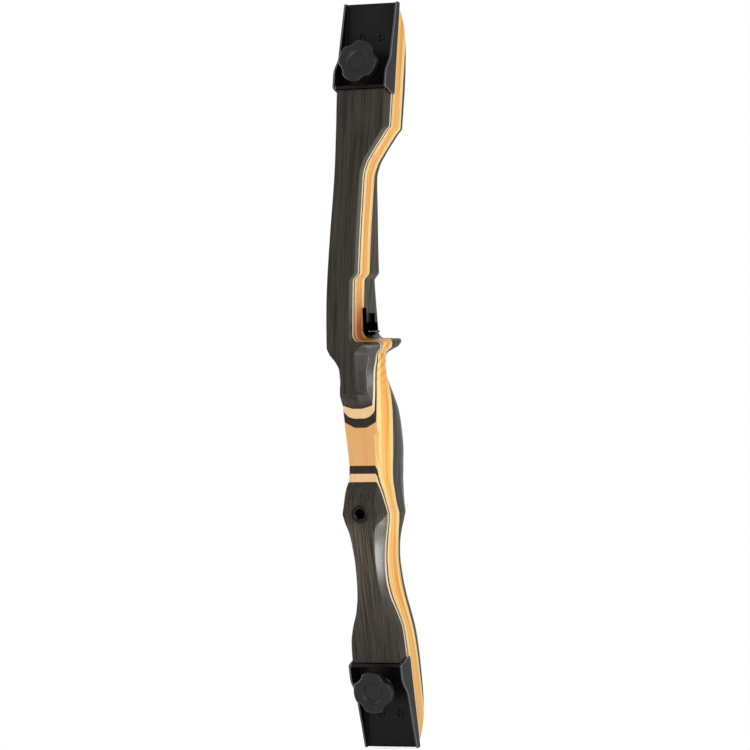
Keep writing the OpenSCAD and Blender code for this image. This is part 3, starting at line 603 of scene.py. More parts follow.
    def placed(self, x: float, y: float, z: float) -> Vector:
        """A point of the measuring frame in the frame's metres, with the throat at the origin.

        Args:
            x: Millimetres to the right.
            y: Millimetres back.
            z: Millimetres up.

        Returns:
            The point.
        """
        drop = self.lean_x * self.throat_z**2 / (2 * self.curve_half)
        out = -self.face_mid_y - self.throat_depth - drop
        return Vector((x, y + out, z - self.throat_z)) * MM

    def heights(self) -> list[float]:
        """Heights of the cross sections that every layer shares, closer where the shape turns.

        Returns:
            The heights, lowest first.
        """
        fillet, turns = self.shelf_fillet, 8
        found = (
            steps(-self.wood_end_z, self.lower_z(0.13), 3)
            + steps(self.lower_z(0.13), self.bulge_z, 1.2)
            + steps(self.bulge_z, self.hand_z(0.5), 1.2)
            + steps(self.hand_z(0.5), self.hand_z(0.2), 0.45)
            + steps(self.hand_z(0.2), self.neck_z(0.38), 1.2)
            + steps(self.neck_z(0.38), self.shelf_edge_z, 0.6)
            + [self.shelf_edge_z, self.shelf_z]
            + [self.shelf_z + fillet * (1 - math.cos(quarter(i, turns))) for i in range(1, turns + 1)]
            + steps(self.shelf_z + fillet + 2, self.deep_top_z, 3)
            + steps(self.deep_top_z, self.jog_top_z, 0.6)
            + steps(self.jog_top_z, self.window_top_z, 4)
            + steps(self.window_top_z, self.sweep_top_z, 1.2)
            + steps(self.sweep_top_z, self.wood_end_z, 3)
            + [self.wood_end_z]
        )
        ends = self.upper_ends + self.lower_ends
        ends += [s * z for s in (-1, 1) for z in (self.belly_end_z, self.rear_end_z)]
        near = 0.3
        kept = [
            z for z in found
            if abs(z) == self.wood_end_z or all(abs(z - end) > near for end in ends)
        ]
        return sorted(kept + ends)

    def seat(self, end: End) -> Matrix:
        """A pocket's own place: z runs along its base to the tip, and -y is out of the face.

        Args:
            end: Which pocket.

        Returns:
            Its place.
        """
        lift = Matrix.Translation((0, self.face_y(self.wall_z), self.wall_z))
        turn = Matrix.Rotation(-self.tilt, 4, "X")
        flip = Matrix.Diagonal((1, 1, end.value, 1))
        return self.whole() @ flip @ lift @ turn

    def bushing_seat(self) -> Matrix:
        """The stabiliser bushing's place: z points out of the face.

        Returns:
            Its place.
        """
        lift = Matrix.Translation((0, self.face_y(self.bulge_z), self.bulge_z))
        turn = math.pi / 2 - math.atan(self.face_slope(self.bulge_z))
        return self.whole() @ lift @ Matrix.Rotation(turn, 4, "X")

    def whole(self) -> Matrix:
        """The measuring frame, in millimetres, carried to the frame's metres."""
        return Matrix.Translation(self.placed(0, 0, 0)) @ Matrix.Scale(MM, 4)


class Maths:
    """A shader value that plain Python expressions can work on."""

    def __init__(self, book: "NodeBook", socket: bpy.types.NodeSocket) -> None:
        """Keeps the socket and the node book that it is in."""
        self.book = book
        self.socket = socket

    def other(self, output: int | str) -> "Maths":
        """Another output of the same node."""
        return Maths(self.book, self.socket.node.outputs[output])

    def _math(self, operation: str, *values: "Maths | float") -> "Maths":
        """Adds a Math node."""
        return self.book.make("ShaderNodeMath", {"operation": operation}, dict(enumerate(values)))

    def __add__(self, other: "Maths | float") -> "Maths":
        """Sum."""
        return self._math("ADD", self, other)

    def __radd__(self, other: float) -> "Maths":
        """Sum with a number first."""
        return self._math("ADD", other, self)

    def __sub__(self, other: "Maths | float") -> "Maths":
        """Difference."""
        return self._math("SUBTRACT", self, other)

    def __rsub__(self, other: float) -> "Maths":
        """Difference from a number."""
        return self._math("SUBTRACT", other, self)

    def __mul__(self, other: "Maths | float") -> "Maths":
        """Product."""
        return self._math("MULTIPLY", self, other)

    def __rmul__(self, other: float) -> "Maths":
        """Product with a number first."""
        return self._math("MULTIPLY", other, self)

    def __truediv__(self, other: "Maths | float") -> "Maths":
        """Quotient."""
        return self._math("DIVIDE", self, other)

    def __pow__(self, other: "Maths | float") -> "Maths":
        """Power."""
        return self._math("POWER", self, other)

    def __abs__(self) -> "Maths":
        """Size without its sign."""
        return self._math("ABSOLUTE", self)

    def at_least(self, other: "Maths | float") -> "Maths":
        """The larger of two values."""
        return self._math("MAXIMUM", self, other)

    def ramp(self, low: float, high: float) -> "Maths":
        """A smooth climb from 0 at low to 1 at high, or down where high is below low."""
        settings = {"interpolation_type": "SMOOTHSTEP"}
        return self.book.make("ShaderNodeMapRange", settings, {0: self, 1: low, 2: high, 3: 0, 4: 1})


class NodeBook:
    """The nodes of one material, or of the world."""

    def __init__(self, owner: bpy.types.Material | bpy.types.World) -> None:
        """Empties the owner's nodes.

        Args:
            owner: The material or the world.
        """
        self.owner = owner
        owner.use_nodes = True
        self.tree = owner.node_tree
        self.tree.nodes.clear()

    def make(
        self, kind: str, settings: dict[str, object], values: dict[int | str, object], out: int = 0
    ) -> Maths | None:
        """Adds a node.

        Args:
            kind: The node's type.
            settings: Its own settings, which are set first.
            values: Numbers, colours or links for its input sockets, by index or name.
            out: Which of its outputs to hand back.

        Returns:
            That output, or None where the node has none.
        """
        node = self.tree.nodes.new(kind)
        for key, value in settings.items():
            setattr(node, key, value)
        for key, value in values.items():
            if isinstance(value, Maths):
                self.tree.links.new(value.socket, node.inputs[key])
            else:
                node.inputs[key].default_value = value
        return Maths(self, node.outputs[out]) if node.outputs else None

    def blend(self, share: Maths | float, start: object, end: object) -> Maths:
        """Mixes two colours."""
        return self.make("ShaderNodeMix", {"data_type": "RGBA"}, {0: share, 6: start, 7: end}, out=2)

    def along(self) -> tuple[Maths, Maths, Maths]:
        """Object coordinates as three values, in millimetres.

        Returns:
            How far right, back and up from the origin.
        """
        place = self.make("ShaderNodeTexCoord", {}, {}, out=3)
        x = self.make("ShaderNodeSeparateXYZ", {}, {0: place})
        return x / MM, x.other(1) / MM, x.other(2) / MM

    def facing(self) -> Maths:
        """How far the surface faces the target or the archer, from -1 to 1."""
        normal = self.make("ShaderNodeTexCoord", {}, {}, out=1)
        return self.make("ShaderNodeSeparateXYZ", {}, {0: normal}, out=1)

    def vector(self, x: Maths | float, y: Maths | float, z: Maths | float) -> Maths:
        """Three values as a vector."""
        return self.make("ShaderNodeCombineXYZ", {}, {0: x, 1: y, 2: z})

    def noise(self, place: Maths, detail: float, roughness: float) -> Maths:
        """Noise of about one feature to a unit."""
        values = {"Vector": place, "Scale": 1, "Detail": detail, "Roughness": roughness}
        return self.make("ShaderNodeTexNoise", {"noise_dimensions": "3D"}, {**values, "Distortion": 0})

    def speckle(self, size: tuple[float, float, float], detail: float, roughness: float) -> Maths:
        """Noise whose features have a size along each axis, in millimetres."""
        x, y, z = self.along()
        return self.noise(self.vector(x / size[0], y / size[1], z / size[2]), detail, roughness)

    def wave(self, phase: Maths) -> Maths:
        """A smooth wave from 0 to 1, one to each unit of its phase."""
        turn = self.make("ShaderNodeMath", {"operation": "SINE"}, {0: phase * (2 * math.pi)})
        return turn * 0.5 + 0.5

    def seen(self, *kinds: str) -> Maths:
        """1 where the camera looks or a ray of these kinds comes by, and 0 for every other ray.

        Args:
            kinds: Names of the other kinds of ray.

        Returns:
            The value.
        """
        rays = self.make("ShaderNodeLightPath", {}, {})
        shown = rays
        for kind in kinds:
            shown = shown.at_least(rays.other(f"Is {kind} Ray"))
        return shown

    def bump(self, height: Maths, strength: float, distance: float) -> Maths:
        """A normal that follows a height, whose full rise is distance in metres."""
        values = {"Strength": strength, "Distance": distance, "Height": height}
        return self.make("ShaderNodeBump", {}, values)

    def finish(self, values: dict[str, object]) -> bpy.types.Material:
        """Ends the material with a Principled shader.

        Args:
            values: Numbers, colours or links for the shader's sockets.

        Returns:
            The material.
        """
        shader = self.make("ShaderNodeBsdfPrincipled", {}, values)
        self.make("ShaderNodeOutputMaterial", {}, {"Surface": shader})
        return self.owner


@dataclass
class Grain:
    """Noise drawn out along the grain, with fine lines both on the face and on the sides."""

    book: NodeBook
    across: Maths
    depth: Maths
    height: Maths
    faces: Maths
    draw_out: float

    def lines(self, width: float, length: float, detail: float, roughness: float = 0.62) -> Maths:
        """Lines of about one width.

        Args:
            width: Width of a line, in millimetres.
            length: Length of a line.
            detail: How much finer the lines split up.
            roughness: How strong the finer lines are.

        Returns:
            The noise, from 0 to 1.
        """
        broad, along = width * self.draw_out, self.height / length
        front = self.book.vector(self.across / width, self.depth / broad, along)
        side = self.book.vector(self.across / broad, self.depth / width, along)
        shown = self.book.noise(front, detail, roughness) * self.faces
        return shown + self.book.noise(side, detail, roughness) * (1 - self.faces)


@dataclass(frozen=True)
class WoodFinish:
    """Lacquered wood whose grain runs along the bent layers.

    Sizes are in millimetres, and a pair named ..._shows says between which values of its noise a
    feature comes in. Streaks lie across the wood at streak_w, rings at ring_gap where it is above
    0, and pores are the finest lines. A painted sheen lightens the wood below the bushing by
    lower_light, a painted shade darkens the shelf's corner by corner_dark, the wood
    is curly below the shelf by curl, and polish is the gloss of the facets below the bushing and
    at the thumb.
    """

    name: str
    face: Rgb
    edge: Rgb
    dark: Rgb
    streak_w: float = 1.1
    streak_len: float = 60
    figure_w: float = 6
    figure_len: float = 160
    hair_w: float = 0.4
    hair_len: float = 24
    drift_w: float = 45
    drift_len: float = 80
    sway: float = 3
    draw_out: float = 6
    figure: float = 0.5
    grain: float = 0.5
    pores: float = 0.4
    ring_gap: float = 0
    ring_drift: float = 30
    ring: float = 0.35
    # Share and colour of the painted sheen below the bushing.
    lower_light: float = 0
    light: Rgb = (104, 95, 82)
    rough: float = 0.3
    streak_rough: float = 0.1
    # Strength and colour of the painted shade in the shelf's corner, and how far across it reaches.
    corner_dark: float = 0
    corner: Rgb = (160, 92, 42)
    corner_right: tuple[float, float] = (16, 6)
    corner_left: tuple[float, float] = (-12, -6)
    specular: float = 0.3
    polish: float = 0
    file_w: float = 5
    file_gap: float = 0.9
    thumb_polish: float = 0.6
    coat_rough: float = 0.2
    coat_ior: float = 2.0
    curl: float = 0
    curl_gap: float = 7.5
    curl_drift: float = 14
    relief: float = 0.2
    relief_high: float = 0.0001
    seed: float = 0
    face_shows: tuple[float, float] = (0.78, 0.94)
    figure_shows: tuple[float, float] = (0.38, 0.62)
    streak_shows: tuple[float, float] = (0.42, 0.6)
    ring_shows: tuple[float, float] = (0.4, 0.95)
    curl_shows: tuple[float, float] = (0.45, 1)
    pore_shows: tuple[float, float] = (0.58, 0.7)

    def material(self, blank: Blank) -> bpy.types.Material:
        """The finish as a material.

        Args:
            blank: The riser, whose face line the grain follows.

        Returns:
            The material.
        """
        book = NodeBook(bpy.data.materials.new(self.name))
        x, y, z = book.along()
        height = z + blank.throat_z
        half, far = blank.curve_half, abs(height)
        bow = far - half / 2 + (half - far).at_least(0.0) ** 2.0 / (2 * half)
        depth = y - blank.lean_x * bow
        drift = book.vector(x / self.drift_w, depth / self.drift_w, z / self.drift_len + self.seed)
        wave = book.noise(drift, 2, 0.5)
        faces = abs(book.facing()).ramp(*self.face_shows)
        grain = Grain(book, x + wave * self.sway, depth, z + self.seed * 100, faces, self.draw_out)
        figure = grain.lines(self.figure_w, self.figure_len, 2)
        streak = grain.lines(self.streak_w, self.streak_len, 4)
        hair = grain.lines(self.hair_w, self.hair_len, 2)
        plain = book.blend(faces, linear(self.edge), linear(self.face))
        # Painted sheen: below the bushing the colour is lifted towards light.
        if self.lower_light:
            low = height.ramp(blank.lower_z(0), blank.lower_z(0.12))
            low = low * height.ramp(blank.lower_z(0.95), blank.lower_z(0.3))
            plain = book.blend(low * self.lower_light, plain, linear(self.light))
        tone = figure.ramp(*self.figure_shows) * self.figure
        tone = tone + streak.ramp(*self.streak_shows) * self.grain
        if self.ring_gap:
            rings = book.wave((depth + wave * self.ring_drift) / self.ring_gap)
            tone = tone + rings.ramp(*self.ring_shows) * self.ring
        if self.curl:
            near = height.ramp(blank.hand_z(0.2), blank.neck_z(0.2))
            near = near * height.ramp(blank.shelf_z + 8, blank.shelf_z) * (1 - faces)
            curls = book.wave((height - depth * 0.5 + wave * self.curl_drift) / self.curl_gap)
            tone = tone + curls.ramp(*self.curl_shows) * near * self.curl
        worked = book.blend(tone, plain, linear(self.dark))
        # Painted shade: the shelf's corner is darkened towards corner.
        if self.corner_dark:
            worn = height.ramp(blank.deep_top_z, blank.shelf_z + 8)
            worn = worn * height.ramp(blank.shelf_z - 5, blank.shelf_z - 1)
            worn = worn * x.ramp(*self.corner_right) * x.ramp(*self.corner_left)
            worked = book.blend(worn * self.corner_dark, worked, linear(self.corner))
        pore = hair.ramp(*self.pore_shows) * self.pores
        grooves = streak * 0.6 + hair * 0.4 - pore
        values = {
            "Base Color": book.blend(pore, worked, linear(shade(self.dark, 0.5))),
            "Roughness": self.rough + streak * self.streak_rough,
            "Specular IOR Level": self.specular,
            "Normal": book.bump(grooves, self.relief, self.relief_high),
        }
        if self.polish:
            glossy = self._facets(book, blank, (x, depth, z), height) * (1 - faces)
            values["Coat Weight"] = glossy * self.polish
            values["Coat Roughness"] = self.coat_rough
            values["Coat IOR"] = self.coat_ior
        return book.finish(values)

    def _facets(
        self, book: NodeBook, blank: Blank, place: tuple[Maths, Maths, Maths], height: Maths
    ) -> Maths:
        """Where the carved facets shine: a filed one below the bushing and one at the thumb.

        Args:
            book: The material's nodes.
            blank: The riser.
            place: How far across the riser, behind the bent face line and above the throat.
            height: The height in the measuring frame.

        Returns:
            The shine, from 0 to 1.
        """
        x, depth, z = place
        past_face = depth - blank.placed(0, blank.face_mid_y, 0).y / MM
        below = (height - past_face).ramp(blank.bulge_z - 9, blank.bulge_z - 12)
        above = height.ramp(blank.lower_z(0.6), blank.lower_z(0.25))
        filed = book.vector(x / self.file_w, depth / self.file_w, z / self.file_gap)
        file_marks = book.noise(filed, 2, 0.6)
        near_face = past_face.ramp(blank.cream_at, blank.cream_at * 0.35)
        shine = near_face * 0.5 + file_marks * 0.4 + 0.1
        thumb = height.ramp(blank.hand_z(0.3), blank.hand_z(0.15)) * x.ramp(3, 5)
        thumb = thumb * height.ramp(blank.shelf_z - 1, blank.neck_z(0.6)) * self.thumb_polish
        return (below * above * shine).at_least(thumb)


@dataclass(frozen=True)
class CoatedSteel:
    """Black powder-coated steel: orange peel, and a painted highlight on its outer rounded edges."""

    name: str
    colour: Rgb
    rough: float = 0.3
    specular: float = 0.12
    # Strength and colour of the painted highlight on the outer rounded edges.
    worn: float = 0
    worn_colour: Rgb = (118, 119, 128)
    peel: float = 0.9
    cloud_size: tuple[float, float, float] = (22, 22, 30)

    def material(self) -> bpy.types.Material:
        """The finish as a material.

        Returns:
            The material.
        """
        book = NodeBook(bpy.data.materials.new(self.name))
        peel = book.speckle((self.peel,) * 3, 3, 0.6)
        cloud = book.speckle(self.cloud_size, 2, 0.5)
        light = shade(self.colour, 1.35, 3)
        colour = book.blend(cloud.ramp(*CLOUD_SHOWS), linear(self.colour), linear(light))
        # Painted highlight: the outer rounded edges are lightened, bluish.
        if self.worn:
            edge = book.make("ShaderNodeAttribute", {"attribute_name": EDGE_MARK}, {}, out=2)
            edge_highlight = edge * (cloud * 0.6 + 0.5) * self.worn
            colour = book.blend(edge_highlight, colour, linear(self.worn_colour))
        return book.finish({
            "Base Color": colour,
            "Roughness": self.rough + peel * 0.1 + cloud * 0.06,
            "Specular IOR Level": self.specular,
            "Normal": book.bump(peel, 0.3, 0.00008),
        })


@dataclass(frozen=True)
class MouldedPlastic:
    """Moulded plastic with a fine spark-eroded texture."""

    name: str
    colour: Rgb
    rough: float = 0.3
    specular: float = 0.26
    grit: float = 0.35
    relief: float = 0.35
    cloud: float = 9

    def material(self) -> bpy.types.Material:
        """The finish as a material.

        Returns:
            The material.
        """
        book = NodeBook(bpy.data.materials.new(self.name))
        grit = book.speckle((self.grit,) * 3, 2, 0.6)
        cloud = book.speckle((self.cloud,) * 3, 3, 0.6)
        light = shade(self.colour, 1.3, 1)
        return book.finish({
            "Base Color": book.blend(cloud.ramp(*CLOUD_SHOWS), linear(self.colour), linear(light)),
            "Roughness": self.rough + grit * 0.12,
            "Specular IOR Level": self.specular,
            "Normal": book.bump(grit, self.relief, 0.00006),
        })


@dataclass(frozen=True)
class TurnedMetal:
    """Bare or plated metal with fine turning marks and a darker stain."""

    name: str
    colour: Rgb
    rough: float = 0.3
    mark_size: tuple[float, float, float] = (2, 0.12, 2)
    stain: float = 4

    def material(self) -> bpy.types.Material:
        """The finish as a material.

        Returns:
            The material.
        """
        book = NodeBook(bpy.data.materials.new(self.name))
        marks = book.speckle(self.mark_size, 2, 0.5)
        stain = book.speckle((self.stain,) * 3, 3, 0.6)
        dull = shade(self.colour, 0.72)
        return book.finish({
            "Base Color": book.blend(stain.ramp(0.4, 0.75), linear(self.colour), linear(dull)),
            "Metallic": 1.0,
            "Roughness": self.rough + stain * 0.15,
            "Normal": book.bump(marks, 0.2, 0.00003),
        })


@dataclass(frozen=True)
class Foam:
    """Dark closed-cell foam tape."""

    name: str
    colour: Rgb
    cell: float = 0.4

    def material(self) -> bpy.types.Material:
        """The finish as a material.

        Returns:
            The material.
        """
        book = NodeBook(bpy.data.materials.new(self.name))
        values = {"Vector": book.vector(*book.along()), "Scale": 1 / self.cell}
        cells = book.make("ShaderNodeTexVoronoi", {}, values)
        light = shade(self.colour, 1, 4)
        return book.finish({
            "Base Color": book.blend(cells.ramp(0, 0.6), linear(self.colour), linear(light)),
            "Roughness": 0.9 - cells * 0.1,
            "Specular IOR Level": 0.05,
            "Normal": book.bump(cells, 0.5, 0.0001),
        })


def new_object(name: str, data: bpy.types.ID) -> bpy.types.Object:
    """An object in the scene that holds a mesh, a lamp or a camera.

    Args:
        name: Its name.
        data: What it holds.

    Returns:
        The object.
    """
    thing = bpy.data.objects.new(name, data)
    bpy.context.scene.collection.objects.link(thing)
    return thing


def as_mesh(bm: bmesh.types.BMesh, name: str) -> bpy.types.Mesh:
    """Turns a shape into a mesh, and uses the shape up.

    Args:
        bm: The shape.
        name: The mesh's name.

    Returns:
        The mesh.
    """
    mesh = bpy.data.meshes.new(name)
    bm.to_mesh(mesh)
    bm.free()
    return mesh


def join(bm: bmesh.types.BMesh, other: bmesh.types.BMesh) -> None:
    """Adds a shape to another one and uses it up.

    Args:
        bm: The shape that grows.
        other: The shape that is added.
    """
    mesh = as_mesh(other, "joined")
    bm.from_mesh(mesh)
    bpy.data.meshes.remove(mesh)


def on_ring(seat: Matrix, angle: float, radius: float, height: float) -> Vector:
    """A point round a seat's own z axis."""
    return seat @ Vector((radius * math.cos(angle), radius * math.sin(angle), height))


def rounded(radius: float, top: float, size: float, count: int) -> list[tuple[float, float]]:
    """A quarter circle from a turned shape's side up and in to its top.

    Args:
        radius: Radius of the side.
        top: Height of the top.
        size: Radius of the quarter circle.
        count: How many steps it takes.

    Returns:
        Its points as a radius and a height, both ends among them.
    """
    turns = [quarter(i, count) for i in range(count + 1)]
    ins = [size * (1 - math.cos(turn)) for turn in turns]
    downs = [size * (1 - math.sin(turn)) for turn in turns]
    return [(radius - inwards, top - down) for inwards, down in zip(ins, downs)]


def warped_grid(columns: int, rows: int, place: Callable[[int, int], Vector]) -> bmesh.types.BMesh:
    """Makes a grid, carries each corner to its place, joins its seam and closes its ends.

    Args:
        columns: Faces round the shape; the last column of corners meets the first.
        rows: Faces along the shape.
        place: Where the corner of a column and a row goes.

    Returns:
        The closed shape, with its faces outwards.
    """
    bm = bmesh.new()
    bmesh.ops.create_grid(bm, x_segments=columns, y_segments=rows, size=0.5)
    for vert in bm.verts:
        column = round((vert.co.x + 0.5) * columns)
        row = round((vert.co.y + 0.5) * rows)
        vert.co = place(column % columns, row)
    bmesh.ops.remove_doubles(bm, verts=bm.verts, dist=2e-6)
    rim = [edge for edge in bm.edges if edge.is_boundary]
    if rim:
        bmesh.ops.holes_fill(bm, edges=rim, sides=0)
    bmesh.ops.recalc_face_normals(bm, faces=bm.faces)
    return bm


def turned(radii: Sequence[tuple[float, float]], segments: int, seat: Matrix) -> bmesh.types.BMesh:
    """A turned shape from its half outline.

    Args:
        radii: Points of the outline as a radius and a height, from the bottom to the top.
        segments: Faces round it.
        seat: Where it goes; its own z is its axis.

    Returns:
        The shape, closed at both ends.
    """

    def place(column: int, row: int) -> Vector:
        """A point at a column's angle and a row's radius."""
        return on_ring(seat, 2 * math.pi * column / segments, *radii[row])

    return warped_grid(segments, len(radii) - 1, place)


def soften(bm: bmesh.types.BMesh, width: float, segments: int, clamped: bool) -> None:
    """Rounds every edge that turns by more than an angle, and marks the outer roundings.

    Args:
        bm: The shape.
        width: Width of the rounding, in millimetres.
        segments: Faces across it.
        clamped: True where short edges hold the width down everywhere.
    """
    sharp = 35
    mark = bm.faces.layers.float.new(EDGE_MARK)
    edges = [
        edge for edge in bm.edges
        if edge.is_manifold and edge.calc_face_angle(0) > math.radians(sharp)
    ]
    made = bmesh.ops.bevel(
        bm, geom=edges, offset=width * MM, offset_type="OFFSET", segments=segments, profile=0.5,
        affect="EDGES", clamp_overlap=clamped, material=-1,
    )
    for face in made["faces"]:
        outward = sum(edge.calc_face_angle_signed(0) for edge in face.edges)
        face[mark] = float(outward > 0)


@dataclass
class Piece:
    """A finished mesh: its node, what it adds to that name, its body, its slot and its material."""

    node: str
    word: str
    body: str
    slot: str
    material: bpy.types.Material
    smooth: float = 38

    def from_cad(
        self, width: float = 0, segments: int = 2, near: float = 0.001, flat: float = 0.5,
        clamped: bool = True,
    ) -> None:
        """Makes the piece from its node's own mesh.

        Args:
            width: Width of the rounding that its edges get, in millimetres.
            segments: Faces across the rounding.
            near: How close two corners are that become one, in millimetres.
            flat: By how many degrees two faces may turn and still become one.
            clamped: True where short edges hold the rounding down everywhere.
        """
        bm = bmesh.new()
        bm.from_mesh(bpy.data.objects[self.node].data)
        bmesh.ops.remove_doubles(bm, verts=bm.verts, dist=near * MM)
        bmesh.ops.dissolve_limit(
            bm, angle_limit=math.radians(flat), verts=bm.verts, edges=bm.edges, delimit=set()
        )
        if width:
            soften(bm, width, segments, clamped)
        self.make(bm)

    def make(self, bm: bmesh.types.BMesh, bores: bmesh.types.BMesh | None = None) -> None:
        """Turns a shape into a finished piece.

        Args:
            bm: The shape, which this uses up.
            bores: A shape to cut out of it, if any, which this uses up too.
        """
        name = f"{self.node}_{self.word}"
        piece = new_object(name, as_mesh(bm, name))
        if bores is not None:
            carve(piece, bores)
        piece.data.materials.clear()
        piece.data.materials.append(self.material)
        piece.data.shade_smooth()
        piece.data.set_sharp_from_angle(angle=math.radians(self.smooth))
        weighted = piece.modifiers.new("weighted", "WEIGHTED_NORMAL")
        weighted.keep_sharp = True
        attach(piece, self.body)
        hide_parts(self.node)
        log.info("%s: %d faces on %s", name, len(piece.data.polygons), self.body)


def carve(piece: bpy.types.Object, bores: bmesh.types.BMesh) -> None:
    """Cuts a shape out of a piece and keeps the result as its mesh.

    Args:
        piece: The piece.
        bores: What is cut out of it, which this uses up.
    """
    cutter = new_object("bores", as_mesh(bores, "bores"))
    cut = piece.modifiers.new("bores", "BOOLEAN")
    cut.operation = "DIFFERENCE"
    cut.solver = "EXACT"
    cut.use_self = True
    cut.object = cutter
    bpy.context.view_layer.update()
    shown = piece.evaluated_get(bpy.context.evaluated_depsgraph_get())
    result = bpy.data.meshes.new_from_object(shown)
    piece.modifiers.clear()
    whole, bored = piece.data, cutter.data
    piece.data = result
    bpy.data.objects.remove(cutter)
    for mesh in (whole, bored):
        bpy.data.meshes.remove(mesh)


def dress(node: str, material: bpy.types.Material) -> None:
    """Gives a CAD node that stays in view its material.

    Args:
        node: The node.
        material: Its material.
    """
    slots = bpy.data.objects[node].data.materials
    slots.clear()
    slots.append(material)
    log.info("%s: keeps its CAD mesh", node)


@dataclass
class Hardware:
    """Sizes of the limb hardware, measured out from a pocket's base."""

    bolt_at: float = 21.6
    bolt_d: float = 8
    bolt_len: float = 24
    bolt_play: float = 1
    thread_pitch: float = 1.25
    thread_deep: float = 0.6
    limb_gap: float = 8
    lower_bolt_out: float = 4.5
    insert_d: float = 13
    insert_len: float = 18.5
    washer_t: float = 1.5
    knob_d: float = 34.2
    scallop_r: float = 8
    scallop_in: float = 14.9
    head_t: float = 7
    knob_bevel: float = 1.6
    hub_d: float = 22
    hub_t: float = 6
    dish_d: float = 19
    dish_t: float = 1.4
    cap_d: float = 14.5
    cap_t: float = 1.8
    screw_at: float = 46.4
    screw_gap: float = 17.2
    crown_d: float = 6.8
    screw_d: float = 4.6
    screw_len: float = 15
    screw_tip: float = 0.8
    cross_len: float = 5.6
    cross_w: float = 1.3
    cross_deep: float = 1.2
    bore_gap: float = 0.05
    run_gap: float = 0.1

    def __post_init__(self) -> None:
        """Works out the heights along the bolt."""
        self.hub_low = self.limb_gap + self.washer_t + self.run_gap
        self.head_low = self.hub_low + self.hub_t
        self.knob_top = self.head_low + self.head_t
        self.dish_floor = self.knob_top - self.dish_t
        self.cap_low = self.dish_floor - self.cap_t
        self.bolt_top = self.cap_low - self.knob_bevel

    def bolt_seat(self, blank: Blank, end: End, moved: bool = True) -> Matrix:
        """The bolt's place: z points out of the pocket and 0 is the pocket's base.

        Args:
            blank: The riser.
            end: Which of its ends.
            moved: True for where the photo shows the bolt, and False for where the hole is.

        Returns:
            The place.
        """
        out = self.lower_bolt_out if moved and end is End.LOWER else 0
        lift = Matrix.Translation((0, blank.base_in - out, self.bolt_at))
        return blank.seat(end) @ lift @ Matrix.Rotation(math.pi / 2, 4, "X")

    def screw_seats(self, blank: Blank, end: End) -> list[Matrix]:
        """The places of the two pocket screws, on the pocket's base."""
        seat, up = self.bolt_seat(blank, end, moved=False), self.screw_at - self.bolt_at
        return [seat @ Matrix.Translation((side * self.screw_gap / 2, up, 0)) for side in (-1, 1)]


@dataclass
class StabiliserBushing:
    """The black bushing in the face, with a rounded flange and a threaded bore."""

    blank: Blank
    flange_d: float = 14.8
    flange_t: float = 1.6
    proud: float = 0.4
    lip: float = 1.0
    barrel_d: float = 12
    length: float = 19
    chamfer: float = 0.4
    bore: float = 7.94
    mouth: float = 0.9
    thread_pitch: float = 1.058
    thread_deep: float = 0.35

    def hole(self, gap: float) -> bmesh.types.BMesh:
        """The stepped hole that it sits in, with a gap round it, up through the face.

        Args:
            gap: How much wider the hole is, all round.

        Returns:
            The shape of the hole.
        """
        barrel, flange, top = self.barrel_d / 2 + gap, self.flange_d / 2 + gap, 5
        low, ledge = -self.length - 2 * gap, -self.flange_t
        outline = [(0, low), (barrel, low), (barrel, ledge), (flange, ledge), (flange, top), (0, top)]
        return turned(outline, 64, self.blank.bushing_seat())

    def build(self) -> None:
        """Makes the bushing."""
        segments, to_a_pitch = 72, 6
        flange, barrel, bore = self.flange_d / 2, self.barrel_d / 2, self.bore / 2
        low, top, mouth, cut = -self.length, self.proud, self.mouth, self.chamfer
        outer = [
            (bore + cut, low), (barrel - cut, low), (barrel, low + cut), (barrel, -self.flange_t),
            (flange, -self.flange_t), *rounded(flange, top, self.lip, 5),
            (bore + mouth + 0.3, top), (bore + mouth, top - 0.15), (bore + 0.1, top - mouth),
        ]
        rows = round((self.length - mouth) / self.thread_pitch * to_a_pitch)
        seat, last = self.blank.bushing_seat(), len(outer) + rows + 1

        def place(column: int, row: int) -> Vector:
            """A point of the outside, or of the thread once the outline has turned in."""
            angle = 2 * math.pi * column / segments
            if row < len(outer) or row == last:
                return on_ring(seat, angle, *outer[row % last])
            height = mix(top - mouth - 0.1, low + 0.2, (row - len(outer)) / rows)
            phase = (height / self.thread_pitch + angle / (2 * math.pi)) % 1
            return on_ring(seat, angle, bore + self.thread_deep * (1 - abs(2 * phase - 1)), height)

        material = CoatedSteel("bushing_black", (2, 2, 2), rough=0.12, specular=0.2).material()
        shape = warped_grid(segments, last, place)
        piece = Piece("stabiliser_bushing", "steel", "riser", "bushing_black", material, 50)
        piece.make(shape)


@dataclass(frozen=True)
class Lamination:
    """One layer of the blank: its node, its finish and where it is cut.

    front and back are depths behind the face line, low and high are heights, and shares says
    where points lie across the thickness, from 0 to 1. With walls, an end that meets a pocket
    leans with that pocket's end wall. With bushing or pockets, their bores go through it.
    """

    node: str
    finish: str
    front: float
    back: float
    low: float
    high: float
    shares: Sequence[float]
    walls: bool = False
    bushing: bool = False
    pockets: bool = False


